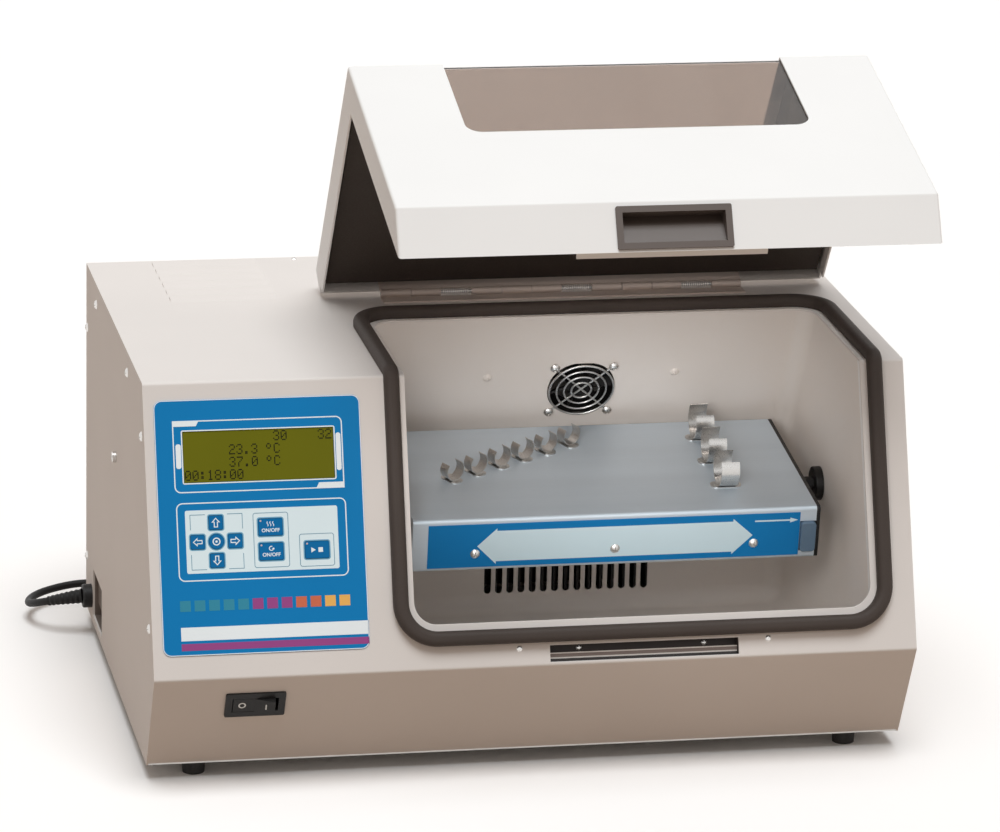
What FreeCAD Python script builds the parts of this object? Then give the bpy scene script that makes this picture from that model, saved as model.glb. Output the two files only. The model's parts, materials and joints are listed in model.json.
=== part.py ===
import FreeCAD, Part
import math
import os
import re

import Sketcher
from FreeCAD import Placement, Rotation, Vector

# Benchtop incubator with a turning tube platform, a hinged lid and a sloping control panel.
# Cabinet coordinates: x to the right, y to the back from the front top edge, z up from the
# cabinet's underside. Frames below stand each piece in the part's own frame.

# Driving dimensions, in millimetres and degrees
SIZES = {
    # cabinet shell
    "cabinet_width": 610.0,
    "cabinet_depth": 360.6,
    "cabinet_height": 301.8,
    "bend_height": 84.6,
    "front_lean": 20.15,
    "chin_lean": 27.3,
    "panel_gauge": 1.5,
    "bend_radius": 3.0,
    "centre_x": 2.92,
    "front_edge_y": -116.49,
    "foot_height": 14.0,
    "foot_radius": 10.0,
    "foot_tread_radius": 8.8,
    "foot_inset": 40.0,
    "front_foot_y": -16.0,
    "rear_foot_inset": 40.0,
    # louvres in the top, over the electronics
    "louvre_inset": 98.0,
    "louvre_length": 88.0,
    "louvre_width": 12.0,
    "louvre_rise": 2.0,
    "louvre_pitch": 21.8,
    "louvre_rear_inset": 15.6,
    # vents in the rear panel
    "vent_inset": 100.0,
    "vent_length": 90.0,
    "vent_width": 5.0,
    "vent_pitch": 14.0,
    "vent_low": 120.0,
    # screws
    "screw_head_radius": 4.0,
    "screw_head_height": 2.2,
    "screw_shank_radius": 1.6,
    "screw_shank_length": 6.0,
    "screw_hole_clearance": 0.2,
    "screw_inset": 17.0,
    "top_screw_front_y": 89.0,
    "top_screw_rear_y": 291.0,
    "front_screw_high_z": 258.5,
    "front_screw_low_z": 118.0,
    "rear_screw_inset_x": 20.0,
    "side_screw_rear_inset": 8.0,
    "rear_screw_high_z": 248.0,
    "rear_screw_low_z": 46.5,
    "top_screw_left_inset": 175.0,
    "top_screw_inset": 6.0,
    "front_screw_spread": 100.2,
    "front_screw_offset": 1.6,
    "catch_screw_spread": 50.6,
    "catch_screw_offset": 2.6,
    "liner_screw_rise": 91.1,
    "liner_screw_left": 80.7,
    "liner_screw_right": 77.0,
    # chamber and its liner
    "control_bay": 206.5,
    "motor_bay": 35.5,
    "chamber_back": 226.0,
    "chamber_floor": 26.0,
    "slope_foot": 161.0,
    "slope_lean": 27.05,
    "lip_rise": 34.86,
    "liner_gauge": 1.0,
    "liner_radius": 14.0,
    "opening_radius": 18.0,
    "insulation_thickness": 20.0,
    # air slots in the chamber's rear wall
    "slot_offset": -1.0,
    "slot_pitch": 9.6,
    "slot_width": 6.0,
    "slot_low": 40.7,
    "slot_length": 40.0,
    "slot_corner": 2.9,
    # bulb gasket round the opening
    "gasket_width": 12.0,
    "gasket_height": 9.4,
    "gasket_crown_radius": 5.0,
    "gasket_root_radius": 1.0,
    "gasket_inset": 5.0,
    "seal_gap": 0.5,
    # hinge
    "hinge_offset": -11.6,
    "hinge_y": 226.0,
    "hinge_lift": 3.5,
    "knuckle_length": 25.4,
    "knuckle_radius": 3.2,
    "knuckle_gap": 0.3,
    "leaf_width": 18.0,
    "leaf_thickness": 1.2,
    "pin_radius": 1.5,
    "pin_clearance": 0.05,
    "spring_wire_radius": 0.5,
    "spring_coil_radius": 2.6,
    # lid
    "lid_offset": -1.6,
    "lid_overlap": 56.0,
    "lid_open": 55.17,
    "lid_rise": 34.4,
    "lid_front": 30.3,
    "lid_toe_overlap": 7.5,
    "lid_toe_length": 39.75,
    "lid_back": 2.0,
    "lid_gap": 0.8,
    "lid_edge_radius": 2.4,
    "lining_inset": 3.0,
    "lining_gap": 0.3,
    "window_offset": -0.2,
    "window_width": 274.7,
    "window_down": 114.0,
    "window_back": 110.0,
    "window_radius": 13.0,
    "window_margin": 10.0,
    "pane_thickness": 3.0,
    "handle_offset": 0.7,
    "handle_width": 90.5,
    "handle_height": 33.7,
    "handle_drop": 4.0,
    "handle_frame": 5.0,
    "handle_depth": 13.0,
    "handle_knee_drop": 13.5,
    "handle_knee_depth": 7.5,
    "handle_lip": 0.8,
    "handle_wall": 1.5,
    "handle_rim": 2.0,
    "fit_clearance": 0.3,
    # magnetic catch
    "catch_offset": -1.5,
    "catch_width": 152.0,
    "catch_gap": 19.5,
    "catch_height": 13.5,
    "catch_depth": 10.0,
    "catch_wall": 1.0,
    "catch_low_wall": 0.4,
    "strike_width": 149.0,
    "strike_offset": 11.6,
    "strike_thickness": 1.6,
    "strike_reach": 5.0,
    "magnet_gap": 0.5,
    "magnet_height": 7.4,
    # control panel on the sloping front
    "overlay_inset": 89.0,
    "overlay_width": 162.0,
    "overlay_top": 14.0,
    "overlay_foot": 18.86,
    "overlay_radius": 6.5,
    "overlay_thickness": 0.6,
    "lcd_width": 118.2,
    "lcd_height": 39.4,
    "lcd_top": 38.9,
    "lcd_depth": 9.0,
    "lcd_board_width": 146.0,
    "lcd_board_height": 62.0,
    "board_thickness": 1.6,
    "keypad_width": 119.7,
    "keypad_top": 100.0,
    "keypad_height": 49.0,
    "key_travel": 0.5,
    "key_proud": 0.5,
    "key_body": 2.6,
    "key_corner": 1.0,
    "arrow_key": 10.8,
    "arrow_spacing": 14.75,
    "arrow_inset": 53.0,
    "arrow_down": 124.7,
    "round_key_radius": 5.8,
    "mode_key_width": 18.8,
    "mode_key_height": 13.2,
    "mode_key_inset": 95.7,
    "upper_key_down": 115.0,
    "lower_key_down": 134.0,
    "start_key_inset": 131.6,
    # rocker switch on the chin
    "switch_inset": 81.1,
    "switch_width": 47.4,
    "switch_height": 25.5,
    "switch_drop": 16.8,
    "switch_rim": 1.6,
    "switch_frame": 5.5,
    "switch_depth": 16.0,
    "rocker_tilt": 9.0,
    "rocker_pin_radius": 1.5,
    "rocker_pivot_depth": 4.0,
    "rocker_half_thickness": 5.6,
    "rocker_tip_rise": 2.6,
    "rocker_end_gap": 1.8,
    # mains inlet, cord grip and side jack on the left panel
    "inlet_y": 281.5,
    "inlet_length": 59.0,
    "inlet_low": 7.0,
    "inlet_height": 41.0,
    "inlet_depth": 24.0,
    "inlet_wall": 1.0,
    "inlet_block_height": 20.0,
    "grip_y": 322.5,
    "grip_z": 20.5,
    "grip_radius": 10.0,
    "grip_proud": 8.0,
    "grip_barrel": 22.0,
    "jack_y": 161.0,
    "jack_z": 193.0,
    "jack_radius": 4.5,
    "jack_flange_radius": 6.4,
    "jack_length": 12.0,
    "cord_radius": 3.25,
    "coil_pitch": 7.1,
    "coil_x": -110.0,
    "coil_y": 462.0,
    "coil_inner_radius": 25.1,
    "coil_climb_dip": 1.8,
    "coil_floor_gap": 0.05,
    "coil_lead_in": 6.5,
    "cord_tail_step": 18.0,
    "plug_length": 40.0,
    "plug_relief_length": 34.0,
    "plug_relief_radius": 6.2,
    "plug_width": 26.0,
    "plug_corner": 6.2,
    "plug_root": 1.0,
    "plug_blade_length": 17.0,
    "plug_blade_width": 6.3,
    "plug_blade_gauge": 1.5,
    "plug_blade_spread": 12.7,
    "plug_earth_radius": 2.4,
    "plug_earth_length": 20.0,
    "plug_earth_drop": 5.8,
    # chamber fan
    "fan_offset": -0.5,
    "fan_rise": 76.1,
    "fan_size": 60.0,
    "fan_bore": 28.0,
    "fan_mouth_corner": 23.8,
    "fan_depth": 15.0,
    "fan_screw_pitch": 49.5,
    "fan_hub_radius": 11.0,
    "fan_shaft_radius": 2.0,
    "blade_clearance": 1.2,
    "blade_pitch": 35.0,
    "blade_chord": 8.55,
    "guard_wire_radius": 0.9,
    "guard_ring_step": 6.2,
    "guard_inner_ring": 8.4,
    "guard_ring_lift": 2.34,
    # platform
    "platform_offset": -6.7,
    "platform_play": 38.0,
    "platform_depth": 175.0,
    "platform_height": 45.0,
    "platform_top": 20.4,
    "platform_wall": 2.5,
    "platform_tilt": 7.4,
    "platform_edge_radius": 3.0,
    "axis_y": 104.0,
    "axis_z": 167.0,
    "end_plate_gauge": 3.0,
    "label_left": 12.5,
    "label_right": 13.5,
    "label_height": 39.0,
    "label_drop": 4.4,
    "label_thickness": 0.4,
    "label_screw_drop": 30.3,
    "label_screw_offset": 0.1,
    "label_screw_pitch": 114.0,
    "lever_inset": 6.6,
    "lever_width": 12.6,
    "lever_drop": 12.7,
    "lever_height": 25.7,
    "lever_proud": 3.5,
    "lever_body": 14.0,
    # drive
    "hub_radius": 14.0,
    "hub_length": 7.0,
    "hex_flats": 10.0,
    "hex_length": 24.0,
    "hex_clearance": 0.3,
    "shaft_radius": 5.0,
    "shaft_clearance": 0.05,
    "motor_size": 64.0,
    "motor_depth": 24.0,
    "motor_gap": 0.5,
    "stub_length": 33.5,
    "stub_flange": 1.5,
    # tube clips
    "large_tube_radius": 14.6,
    "large_clip_inset": 65.1,
    "large_clip_front": 47.0,
    "large_clip_pitch": 46.4,
    "large_clip_width": 15.0,
    "small_tube_radius": 8.3,
    "small_clip_inset": 44.9,
    "small_clip_front": 76.7,
    "small_clip_step_x": 21.6,
    "small_clip_step_y": 12.1,
    "small_clip_turn": 60.0,
    "small_clip_width": 9.0,
    "clip_gauge": 0.6,
    "clip_gap_angle": 50.0,
    "clip_base_width": 12.0,
    "clip_base_gauge": 0.9,
    "clip_base_corner": 4.8,
    "clip_foot": 5.0,
    # inner units
    "supply_length": 160.0,
    "supply_width": 98.0,
    "supply_height": 42.0,
    "supply_inset": 100.0,
    "supply_y": 150.0,
    "main_board_width": 120.0,
    "main_board_length": 160.0,
    "main_board_y": 240.0,
    "main_board_z": 200.0,
    "heater_width": 150.0,
    "heater_depth": 26.0,
    "heater_fin_pitch": 10.0,
    "heater_fin": 2.0,
    "heater_base": 5.0,
}

# Spans and places that follow from the sizes: the controls keep to the cabinet's left side, the chamber
# fills what its two bays leave, and its fittings keep to its middle or its lip
PLACES = {
    "front_length": "((cabinet_height - bend_height)/cos(front_lean))",
    "louvre_x": "(louvre_inset - cabinet_width/2)",
    "vent_x": "(vent_inset - cabinet_width/2)",
    "top_screw_x": "(top_screw_left_inset - cabinet_width/2)",
    "overlay_x": "(overlay_inset - cabinet_width/2)",
    "overlay_height": "(front_length - overlay_top - overlay_foot)",
    "arrow_x": "(arrow_inset - cabinet_width/2)",
    "mode_key_x": "(mode_key_inset - cabinet_width/2)",
    "start_key_x": "(start_key_inset - cabinet_width/2)",
    "switch_x": "(switch_inset - cabinet_width/2)",
    "supply_x": "(supply_inset - cabinet_width/2)",
    "chamber_x": "((control_bay - motor_bay)/2)",
    "chamber_width": "(cabinet_width - control_bay - motor_bay)",
    "lip_drop": "(front_length - lip_rise)",
    "slot_x": "(chamber_x + slot_offset)",
    "fan_x": "(chamber_x + fan_offset)",
    "liner_screw_left_x": "(chamber_x - liner_screw_left)",
    "liner_screw_right_x": "(chamber_x + liner_screw_right)",
    "hinge_x": "(chamber_x + hinge_offset)",
    "lid_x": "(chamber_x + lid_offset)",
    "lid_width": "(chamber_width + lid_overlap)",
    "lid_toe_drop": "(lip_drop + lid_toe_overlap)",
    "window_x": "(chamber_x + window_offset)",
    "handle_x": "(chamber_x + handle_offset)",
    "catch_x": "(chamber_x + catch_offset)",
    "catch_top": "(lip_drop + catch_gap)",
    "catch_screw_drop": "(catch_top + catch_screw_offset)",
    "front_screw_drop": "(catch_top + front_screw_offset)",
    "strike_drop": "(catch_top + strike_offset)",
    "platform_x": "(chamber_x + platform_offset)",
    "platform_width": "(chamber_width - platform_play)",
    "label_width": "(platform_width - label_left - label_right)",
    "label_screw_x": "(platform_x + label_screw_offset)",
    "lever_x": "(platform_x + platform_width/2 - lever_inset)",
    "large_clip_x": "(platform_x + platform_width/2 - large_clip_inset)",
    "small_clip_x": "(platform_x - platform_width/2 + small_clip_inset)",
}

LOUVRES = 6
VENTS = 8
AIR_SLOTS = 15
KNUCKLES = 12
SPRING_KNUCKLES = (2, 6, 10)
FIXED_KNUCKLES = (0, 4, 8)
MOVING_KNUCKLES = (1, 3, 5, 7, 9, 11)
SPRING_TURNS = 13
GUARD_RINGS = 4
FAN_BLADES = 7
SMALL_CLIPS = 6
LARGE_CLIPS = 3
COIL_TURNS = 3

doc = FreeCAD.newDocument("incubator_mixer")
sizes = doc.addObject("Spreadsheet::Sheet", "sizes")
for row, (alias, number) in enumerate(SIZES.items(), start=1):
    sizes.set(f"A{row}", alias)
    sizes.set(f"B{row}", str(number))
    sizes.setAlias(f"B{row}", alias)
doc.recompute()

SUBPARTS = []
WORD = re.compile(r"[a-z][a-z_0-9]*")


def bound(expression):
    """The expression with every place spelled out and every size read from the sheet"""

    def named(found):
        word = found.group()
        if word in PLACES:
            return bound(PLACES[word])
        return f"sizes.{word}" if word in SIZES else word

    return WORD.sub(named, str(expression))


def value(expression):
    """The number that an expression of sizes gives"""
    result = sizes.evalExpression(bound(expression))
    return float(getattr(result, "Value", result))


# Lines that several pieces share, as expressions of the sizes
INNER_HALF = "(cabinet_width/2 - panel_gauge)"
FRONT_RUN = "((cabinet_height - bend_height)*tan(front_lean))"
CHIN_FOOT = f"({FRONT_RUN} - bend_height*tan(chin_lean))"
TOP_INSIDE = "(cabinet_height - panel_gauge)"
CHAMBER_LEFT = "(chamber_x - chamber_width/2)"
CHAMBER_RIGHT = "(chamber_x + chamber_width/2)"
SLOPE_TOP = f"(chamber_back - ({TOP_INSIDE} - slope_foot)*tan(slope_lean))"
LIP_Z = "(cabinet_height - lip_drop*cos(front_lean))"
AXLE_Z = "(cabinet_height + hinge_lift)"
TOP_NORMAL = "90"
FRONT_NORMAL = "(180 - front_lean)"
CHIN_NORMAL = "(180 + chin_lean)"
TOE_ANGLE = "(front_lean + chin_lean)"


def moved(point, angle, distance):
    """A point of the side view moved by a distance at an angle from +y"""
    y, z = point
    return f"({y} + ({distance})*cos({angle}))", f"({z} + ({distance})*sin({angle}))"


def corner(point, first, second, distance):
    """The corner of two sheet faces moved out by one distance along both of their normals"""
    y, z = point
    share = f"({distance})/(1 + cos({first} - {second}))"
    across = f"({y} + {share}*(cos({first}) + cos({second})))"
    upward = f"({z} + {share}*(sin({first}) + sin({second})))"
    return across, upward


def on_front(drop, out):
    """A point of the side view, by its distance down the sloping front and out of it"""
    foot = moved(("0", "cabinet_height"), "(270 - front_lean)", drop)
    return moved(foot, FRONT_NORMAL, out)


def from_axle(point):
    """A point of the closed lid, seen from the hinge axle"""
    y, z = point
    return f"({y} - hinge_y)", f"({z} - {AXLE_Z})"


TOP_EDGE = ("0", "cabinet_height")
FRONT_BEND = (f"(-{FRONT_RUN})", "bend_height")

# Lid corners in the closed position, before the move to the axle
LID_TOP = "(cabinet_height + lid_rise)"
LID_BEND = ("((lid_rise*sin(front_lean) - lid_front)/cos(front_lean))", LID_TOP)
LID_TOE = on_front("lid_toe_drop", "lid_front")
LID_END = moved(LID_TOE, "(chin_lean - 90)", "lid_toe_length")

# Frames: y and z of the origin, turn about the x axis, and the direction of that axis
TOE_FROM_AXLE = from_axle(LID_TOE)
FRAMES = {
    "cabinet": ("front_edge_y", "foot_height", "0", 1),
    "front": ("front_edge_y", "foot_height + cabinet_height", "90 - front_lean", 1),
    "chin": (f"front_edge_y - {FRONT_RUN}", "foot_height + bend_height", "90 + chin_lean", 1),
    "slope": ("front_edge_y + chamber_back", "foot_height + slope_foot", "90 + slope_lean", 1),
    "platform": ("front_edge_y + axis_y", "foot_height + axis_z", "platform_tilt", 1),
    "lid": ("front_edge_y + hinge_y", f"foot_height + {AXLE_Z}", "lid_open", -1),
    "toe": (
        f"front_edge_y + hinge_y + {TOE_FROM_AXLE[0]}*cos(lid_open) + {TOE_FROM_AXLE[1]}*sin(lid_open)",
        f"foot_height + {AXLE_Z} - {TOE_FROM_AXLE[0]}*sin(lid_open) + {TOE_FROM_AXLE[1]}*cos(lid_open)",
        "90 + chin_lean - lid_open",
        1,
    ),
}


def stand(item, frame):
    """Stand an object in its frame"""
    y, z, turn, sense = FRAMES[frame]
    item.Placement = Placement(Vector(0, 0, 0), Rotation(Vector(sense, 0, 0), 1))
    item.setExpression("Placement.Base.x", bound("centre_x"))
    item.setExpression("Placement.Base.y", bound(y))
    item.setExpression("Placement.Base.z", bound(z))
    item.setExpression("Placement.Rotation.Angle", bound(turn))


def hold(sketch, geometry, end, x, y):
    """Hold a point of a sketch at two expressions"""
    for kind, expression in (("DistanceX", x), ("DistanceY", y)):
        index = sketch.addConstraint(Sketcher.Constraint(kind, -1, 1, geometry, end, value(expression)))
        sketch.setExpression(f"Constraints[{index}]", bound(expression))


def hold_radius(sketch, geometry, radius):
    index = sketch.addConstraint(Sketcher.Constraint("Radius", geometry, value(radius)))
    sketch.setExpression(f"Constraints[{index}]", bound(radius))


def polygon(points):
    """A closed loop of straight lines through the points"""

    def draw(sketch):
        first = sketch.GeometryCount
        count = len(points)
        places = [Vector(value(x), value(y), 0) for x, y in points]
        for index, place in enumerate(places):
            sketch.addGeometry(Part.LineSegment(place, places[(index + 1) % count]))
        for index in range(count):
            following = first + (index + 1) % count
            sketch.addConstraint(Sketcher.Constraint("Coincident", first + index, 2, following, 1))
            hold(sketch, first + index, 1, *points[index])

    return draw


def rectangle(x0, y0, x1, y1):
    return polygon([(x0, y0), (x1, y0), (x1, y1), (x0, y1)])


def circle(x, y, radius):
    def draw(sketch):
        middle = Vector(value(x), value(y), 0)
        index = sketch.addGeometry(Part.Circle(middle, Vector(0, 0, 1), value(radius)))
        hold(sketch, index, 3, x, y)
        hold_radius(sketch, index, radius)

    return draw


def rounded(x0, y0, x1, y1, radius):
    """A rectangle with round corners, anticlockwise from its lower left"""
    left, right = f"({x0} + {radius})", f"({x1} - {radius})"
    low, high = f"({y0} + {radius})", f"({y1} - {radius})"
    ends = [(left, y0), (right, y0), (x1, low), (x1, high), (right, y1), (left, y1), (x0, high), (x0, low)]
    middles = [(right, low), (right, high), (left, high), (left, low)]

    def draw(sketch):
        places = [Vector(value(x), value(y), 0) for x, y in ends]
        bend = value(radius)
        lines, arcs = [], []
        for side in range(4):
            lines.append(sketch.addGeometry(Part.LineSegment(places[2 * side], places[2 * side + 1])))
            middle = Vector(value(middles[side][0]), value(middles[side][1]), 0)
            start = math.radians(90 * side - 90)
            whole = Part.Circle(middle, Vector(0, 0, 1), bend)
            arcs.append(sketch.addGeometry(Part.ArcOfCircle(whole, start, start + math.pi / 2)))
        for side in range(4):
            sketch.addConstraint(Sketcher.Constraint("Coincident", lines[side], 2, arcs[side], 1))
            sketch.addConstraint(Sketcher.Constraint("Coincident", arcs[side], 2, lines[(side + 1) % 4], 1))
            hold(sketch, lines[side], 1, *ends[2 * side])
            hold(sketch, lines[side], 2, *ends[2 * side + 1])
            hold_radius(sketch, arcs[side], radius)

    return draw


class Piece:
    """A solid made of pads and pockets, standing in one of the frames"""

    def __init__(self, label, frame="cabinet", written=True):
        self.body = doc.addObject("PartDesign::Body", label)
        self.body.Label = label
        stand(self.body, frame)
        if written:
            SUBPARTS.append(self.body)

    def sketch(self, role, loops, start):
        sheet_plane = next(item for item in self.body.Origin.OriginFeatures if item.Role == role)
        sketch = self.body.newObject("Sketcher::SketchObject", f"{self.body.Name}_sketch")
        sketch.AttachmentSupport = [(sheet_plane, "")]
        sketch.MapMode = "FlatFace"
        sketch.setExpression("AttachmentOffset.Base.z", bound(start))
        for draw in loops:
            draw(sketch)
        return sketch

    def add(self, role, loops, start, length):
        """Pad the loops from start along the plane's normal"""
        profile = self.sketch(role, loops, start)
        feature = self.body.newObject("PartDesign::Pad", f"{self.body.Name}_pad")
        feature.Profile = profile
        feature.setExpression("Length", bound(length))
        doc.recompute()
        return feature

    def cut(self, role, loops, start, length):
        """Pocket the loops from start along the plane's normal"""
        before = self.body.Tip.Shape.Volume
        profile = self.sketch(role, loops, start)
        feature = self.body.newObject("PartDesign::Pocket", f"{self.body.Name}_pocket")
        feature.Profile = profile
        feature.Reversed = True
        feature.setExpression("Length", bound(length))
        doc.recompute()
        if feature.Shape.Volume >= before:
            raise RuntimeError(f"{feature.Name} cuts nothing")
        return feature

    def repeat(self, feature, length, count):
        """Repeat a feature along x"""
        axis = next(item for item in self.body.Origin.OriginFeatures if item.Role == "X_Axis")
        pattern = self.body.newObject("PartDesign::LinearPattern", f"{self.body.Name}_pattern")
        pattern.Originals = [feature]
        pattern.Direction = (axis, [""])
        pattern.setExpression("Length", bound(length))
        pattern.Occurrences = count
        self.body.Tip = pattern
        doc.recompute()
        return pattern

    def round_off(self, radius, wanted):
        """Fillet the edges that the test picks"""
        base = self.body.Tip
        edges = [f"Edge{n}" for n, edge in enumerate(base.Shape.Edges, start=1) if wanted(edge)]
        feature = self.body.newObject("PartDesign::Fillet", f"{self.body.Name}_fillet")
        feature.Base = (base, edges)
        feature.setExpression("Radius", bound(radius))
        doc.recompute()
        return feature


def lies_at(edge, x=None, y=None, z=None):
    """Whether both ends of an edge have the given coordinates"""
    for vertex in edge.Vertexes:
        for wanted, found in ((x, vertex.X), (y, vertex.Y), (z, vertex.Z)):
            if wanted is not None and abs(wanted - found) > 1e-4:
                return False
    return len(edge.Vertexes) == 2


def formed(label, shape, frame="cabinet"):
    """A sub-part whose shape is formed from the sizes in code"""
    item = doc.addObject("Part::Feature", label)
    item.Label = label
    item.Shape = shape
    stand(item, frame)
    SUBPARTS.append(item)
    return item


def grouped(label, members, frame="cabinet"):
    """Separate solids of one kind as one sub-part"""
    return formed(label, Part.makeCompound(members), frame)


def bent_sheet(path, normals, gauge, first_end, last_end):
    """Outline of a bent sheet: its seen face along path, and the other face one gauge behind it"""
    behind = [first_end]
    for index in range(1, len(path) - 1):
        behind.append(corner(path[index], normals[index - 1], normals[index], f"-{gauge}"))
    behind.append(last_end)
    return path + behind[::-1]


# Cabinet shell: a bent wrap over the top, front and chin, closed by flat panels

WRAP_PATH = [
    ("(cabinet_depth - panel_gauge)", "cabinet_height"),
    TOP_EDGE,
    FRONT_BEND,
    (f"(-{CHIN_FOOT} - panel_gauge*tan(chin_lean))", "panel_gauge"),
]
WRAP_NORMALS = [TOP_NORMAL, FRONT_NORMAL, CHIN_NORMAL]
WRAP_OUTLINE = bent_sheet(
    WRAP_PATH,
    WRAP_NORMALS,
    "panel_gauge",
    ("(cabinet_depth - panel_gauge)", TOP_INSIDE),
    (f"({WRAP_PATH[3][0]} + panel_gauge/cos(chin_lean))", "panel_gauge"),
)
WRAP_INSIDE_TOP = WRAP_OUTLINE[6]
WRAP_INSIDE_BEND = WRAP_OUTLINE[5]


def at_corner(point):
    """A test for edges along x at one corner of the side view"""
    y, z = value(point[0]), value(point[1])
    return lambda edge: lies_at(edge, y=y, z=z)


def down_front(drop):
    """Height of a point some way down the sloping front"""
    return f"(cabinet_height - ({drop})*cos(front_lean))"


def down_chin(drop):
    return f"(bend_height - ({drop})*cos(chin_lean))"


def louvre_loops(hollow):
    """The lifted lips of the louvres, or the space under them"""
    loops = []
    for index in range(LOUVRES):
        middle = f"(cabinet_depth - louvre_rear_inset - {index}*louvre_pitch)"
        toe, heel = f"({middle} - louvre_width/2)", f"({middle} + louvre_width/2)"
        lip = "(cabinet_height + louvre_rise)"
        if hollow:
            start = f"({middle} - louvre_width/6)"
            under = "(cabinet_height - panel_gauge + louvre_rise/3)"
            below = f"({TOP_INSIDE} - panel_gauge)"
            back = f"({heel} + panel_gauge)"
            crest = f"({lip} - panel_gauge)"
            loops.append(polygon([(start, below), (back, below), (back, crest), (start, under)]))
        else:
            root = "(cabinet_height - panel_gauge/2)"
            loops.append(polygon([(toe, root), (heel, root), (heel, lip), (toe, "cabinet_height")]))
    return loops


def make_wrap():
    wrap = Piece("front_wrap")
    wrap.add("YZ_Plane", [polygon(WRAP_OUTLINE)], f"-{INNER_HALF}", f"2*{INNER_HALF}")
    outer = [at_corner(TOP_EDGE), at_corner(FRONT_BEND)]
    inner = [at_corner(WRAP_INSIDE_TOP), at_corner(WRAP_INSIDE_BEND)]
    wrap.round_off("bend_radius", lambda edge: any(test(edge) for test in outer))
    wrap.round_off("bend_radius - panel_gauge", lambda edge: any(test(edge) for test in inner))
    reach = f"({FRONT_RUN} + 4*panel_gauge)"
    spare = "(2*opening_radius)"
    top_mouth = rounded(CHAMBER_LEFT, f"(-{spare})", CHAMBER_RIGHT, SLOPE_TOP, "opening_radius")
    wrap.cut("XY_Plane", [top_mouth], "(cabinet_height - 4*panel_gauge)", "(8*panel_gauge)")
    front_mouth = rounded(CHAMBER_LEFT, LIP_Z, CHAMBER_RIGHT, f"(cabinet_height + {spare})", "opening_radius")
    wrap.cut("XZ_Plane", [front_mouth], "(-4*panel_gauge)", f"({reach} + 4*panel_gauge)")
    gap = "fit_clearance"
    front_skew, chin_skew = "(panel_gauge*tan(front_lean))", "(panel_gauge*tan(chin_lean))"
    lcd = rectangle(
        f"(overlay_x - lcd_width/2 - {gap})",
        down_front(f"lcd_top + lcd_height + {gap} + {front_skew}"),
        f"(overlay_x + lcd_width/2 + {gap})",
        down_front(f"lcd_top - {gap}"),
    )
    keypad = rectangle(
        "(overlay_x - keypad_width/2)",
        down_front("keypad_top + keypad_height"),
        "(overlay_x + keypad_width/2)",
        down_front("keypad_top"),
    )
    catch = rectangle(
        "(catch_x - catch_width/2)",
        down_front("catch_top + catch_height"),
        "(catch_x + catch_width/2)",
        down_front("catch_top"),
    )
    switch = rectangle(
        f"(switch_x - switch_width/2 + switch_frame/2 - {gap})",
        down_chin(f"switch_drop + switch_height - switch_frame/2 + {gap}"),
        f"(switch_x + switch_width/2 - switch_frame/2 + {gap})",
        down_chin(f"switch_drop + switch_frame/2 - {gap} - {chin_skew}"),
    )
    wrap.cut("XZ_Plane", [lcd, keypad, catch, switch], "0", reach)
    holes = [
        circle(x, down_front(f"{drop} + {front_skew}/2"), f"({SCREW_HOLE} + {front_skew}/2)")
        for x, drop, depth in FRONT_SCREWS
        if depth == "0"
    ]
    wrap.cut("XZ_Plane", holes, "0", reach)
    top_hole = circle("top_screw_x", "(cabinet_depth - top_screw_inset)", SCREW_HOLE)
    wrap.cut("XY_Plane", [top_hole], "(cabinet_height - 2*panel_gauge)", "(4*panel_gauge)")
    wrap.add("YZ_Plane", louvre_loops(False), "(louvre_x - louvre_length/2)", "louvre_length")
    wrap.cut(
        "YZ_Plane",
        louvre_loops(True),
        "(louvre_x - louvre_length/2 + panel_gauge)",
        "(louvre_length - 2*panel_gauge)",
    )


SIDE_OUTLINE = [
    ("cabinet_depth", "cabinet_height"),
    TOP_EDGE,
    FRONT_BEND,
    (f"(-{CHIN_FOOT})", "0"),
    ("cabinet_depth", "0"),
]


def beside_front(height):
    """A screw place set in from the sloping front at some height"""
    return f"(screw_inset - (cabinet_height - {height})*tan(front_lean))", height


SIDE_SCREWS = [
    ("top_screw_front_y", "(cabinet_height - screw_inset)"),
    ("top_screw_rear_y", "(cabinet_height - screw_inset)"),
    beside_front("front_screw_high_z"),
    beside_front("front_screw_low_z"),
    ("(cabinet_depth - side_screw_rear_inset)", "rear_screw_low_z"),
    ("(cabinet_depth - side_screw_rear_inset)", "rear_screw_high_z"),
]
REAR_SCREWS = [
    (f"{side}(cabinet_width/2 - rear_screw_inset_x)", height)
    for side in ("-", "")
    for height in ("rear_screw_low_z", "rear_screw_high_z")
]
CATCH_BACK = "(-panel_gauge - catch_depth)"
FRONT_SCREWS = [
    ("(catch_x - front_screw_spread)", "front_screw_drop", "0"),
    ("(catch_x + front_screw_spread)", "front_screw_drop", "0"),
    ("(catch_x - catch_screw_spread)", "catch_screw_drop", CATCH_BACK),
    ("(catch_x + catch_screw_spread)", "catch_screw_drop", CATCH_BACK),
]
SMALL_SCREW = 0.62
RECESS_WIDTH = 0.2
RECESS_LENGTH = 1.1
RECESS_FLOOR = 0.55
SCREW_HOLE = "(screw_shank_radius + screw_hole_clearance)"


def make_side_panel(label, start):
    panel = Piece(label)
    panel.add("YZ_Plane", [polygon(SIDE_OUTLINE)], start, "panel_gauge")
    corners = [at_corner(TOP_EDGE), at_corner(FRONT_BEND)]
    panel.round_off("bend_radius", lambda edge: any(test(edge) for test in corners))
    holes = [circle(y, z, SCREW_HOLE) for y, z in SIDE_SCREWS]
    panel.cut("YZ_Plane", holes, start, "panel_gauge")
    return panel


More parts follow.
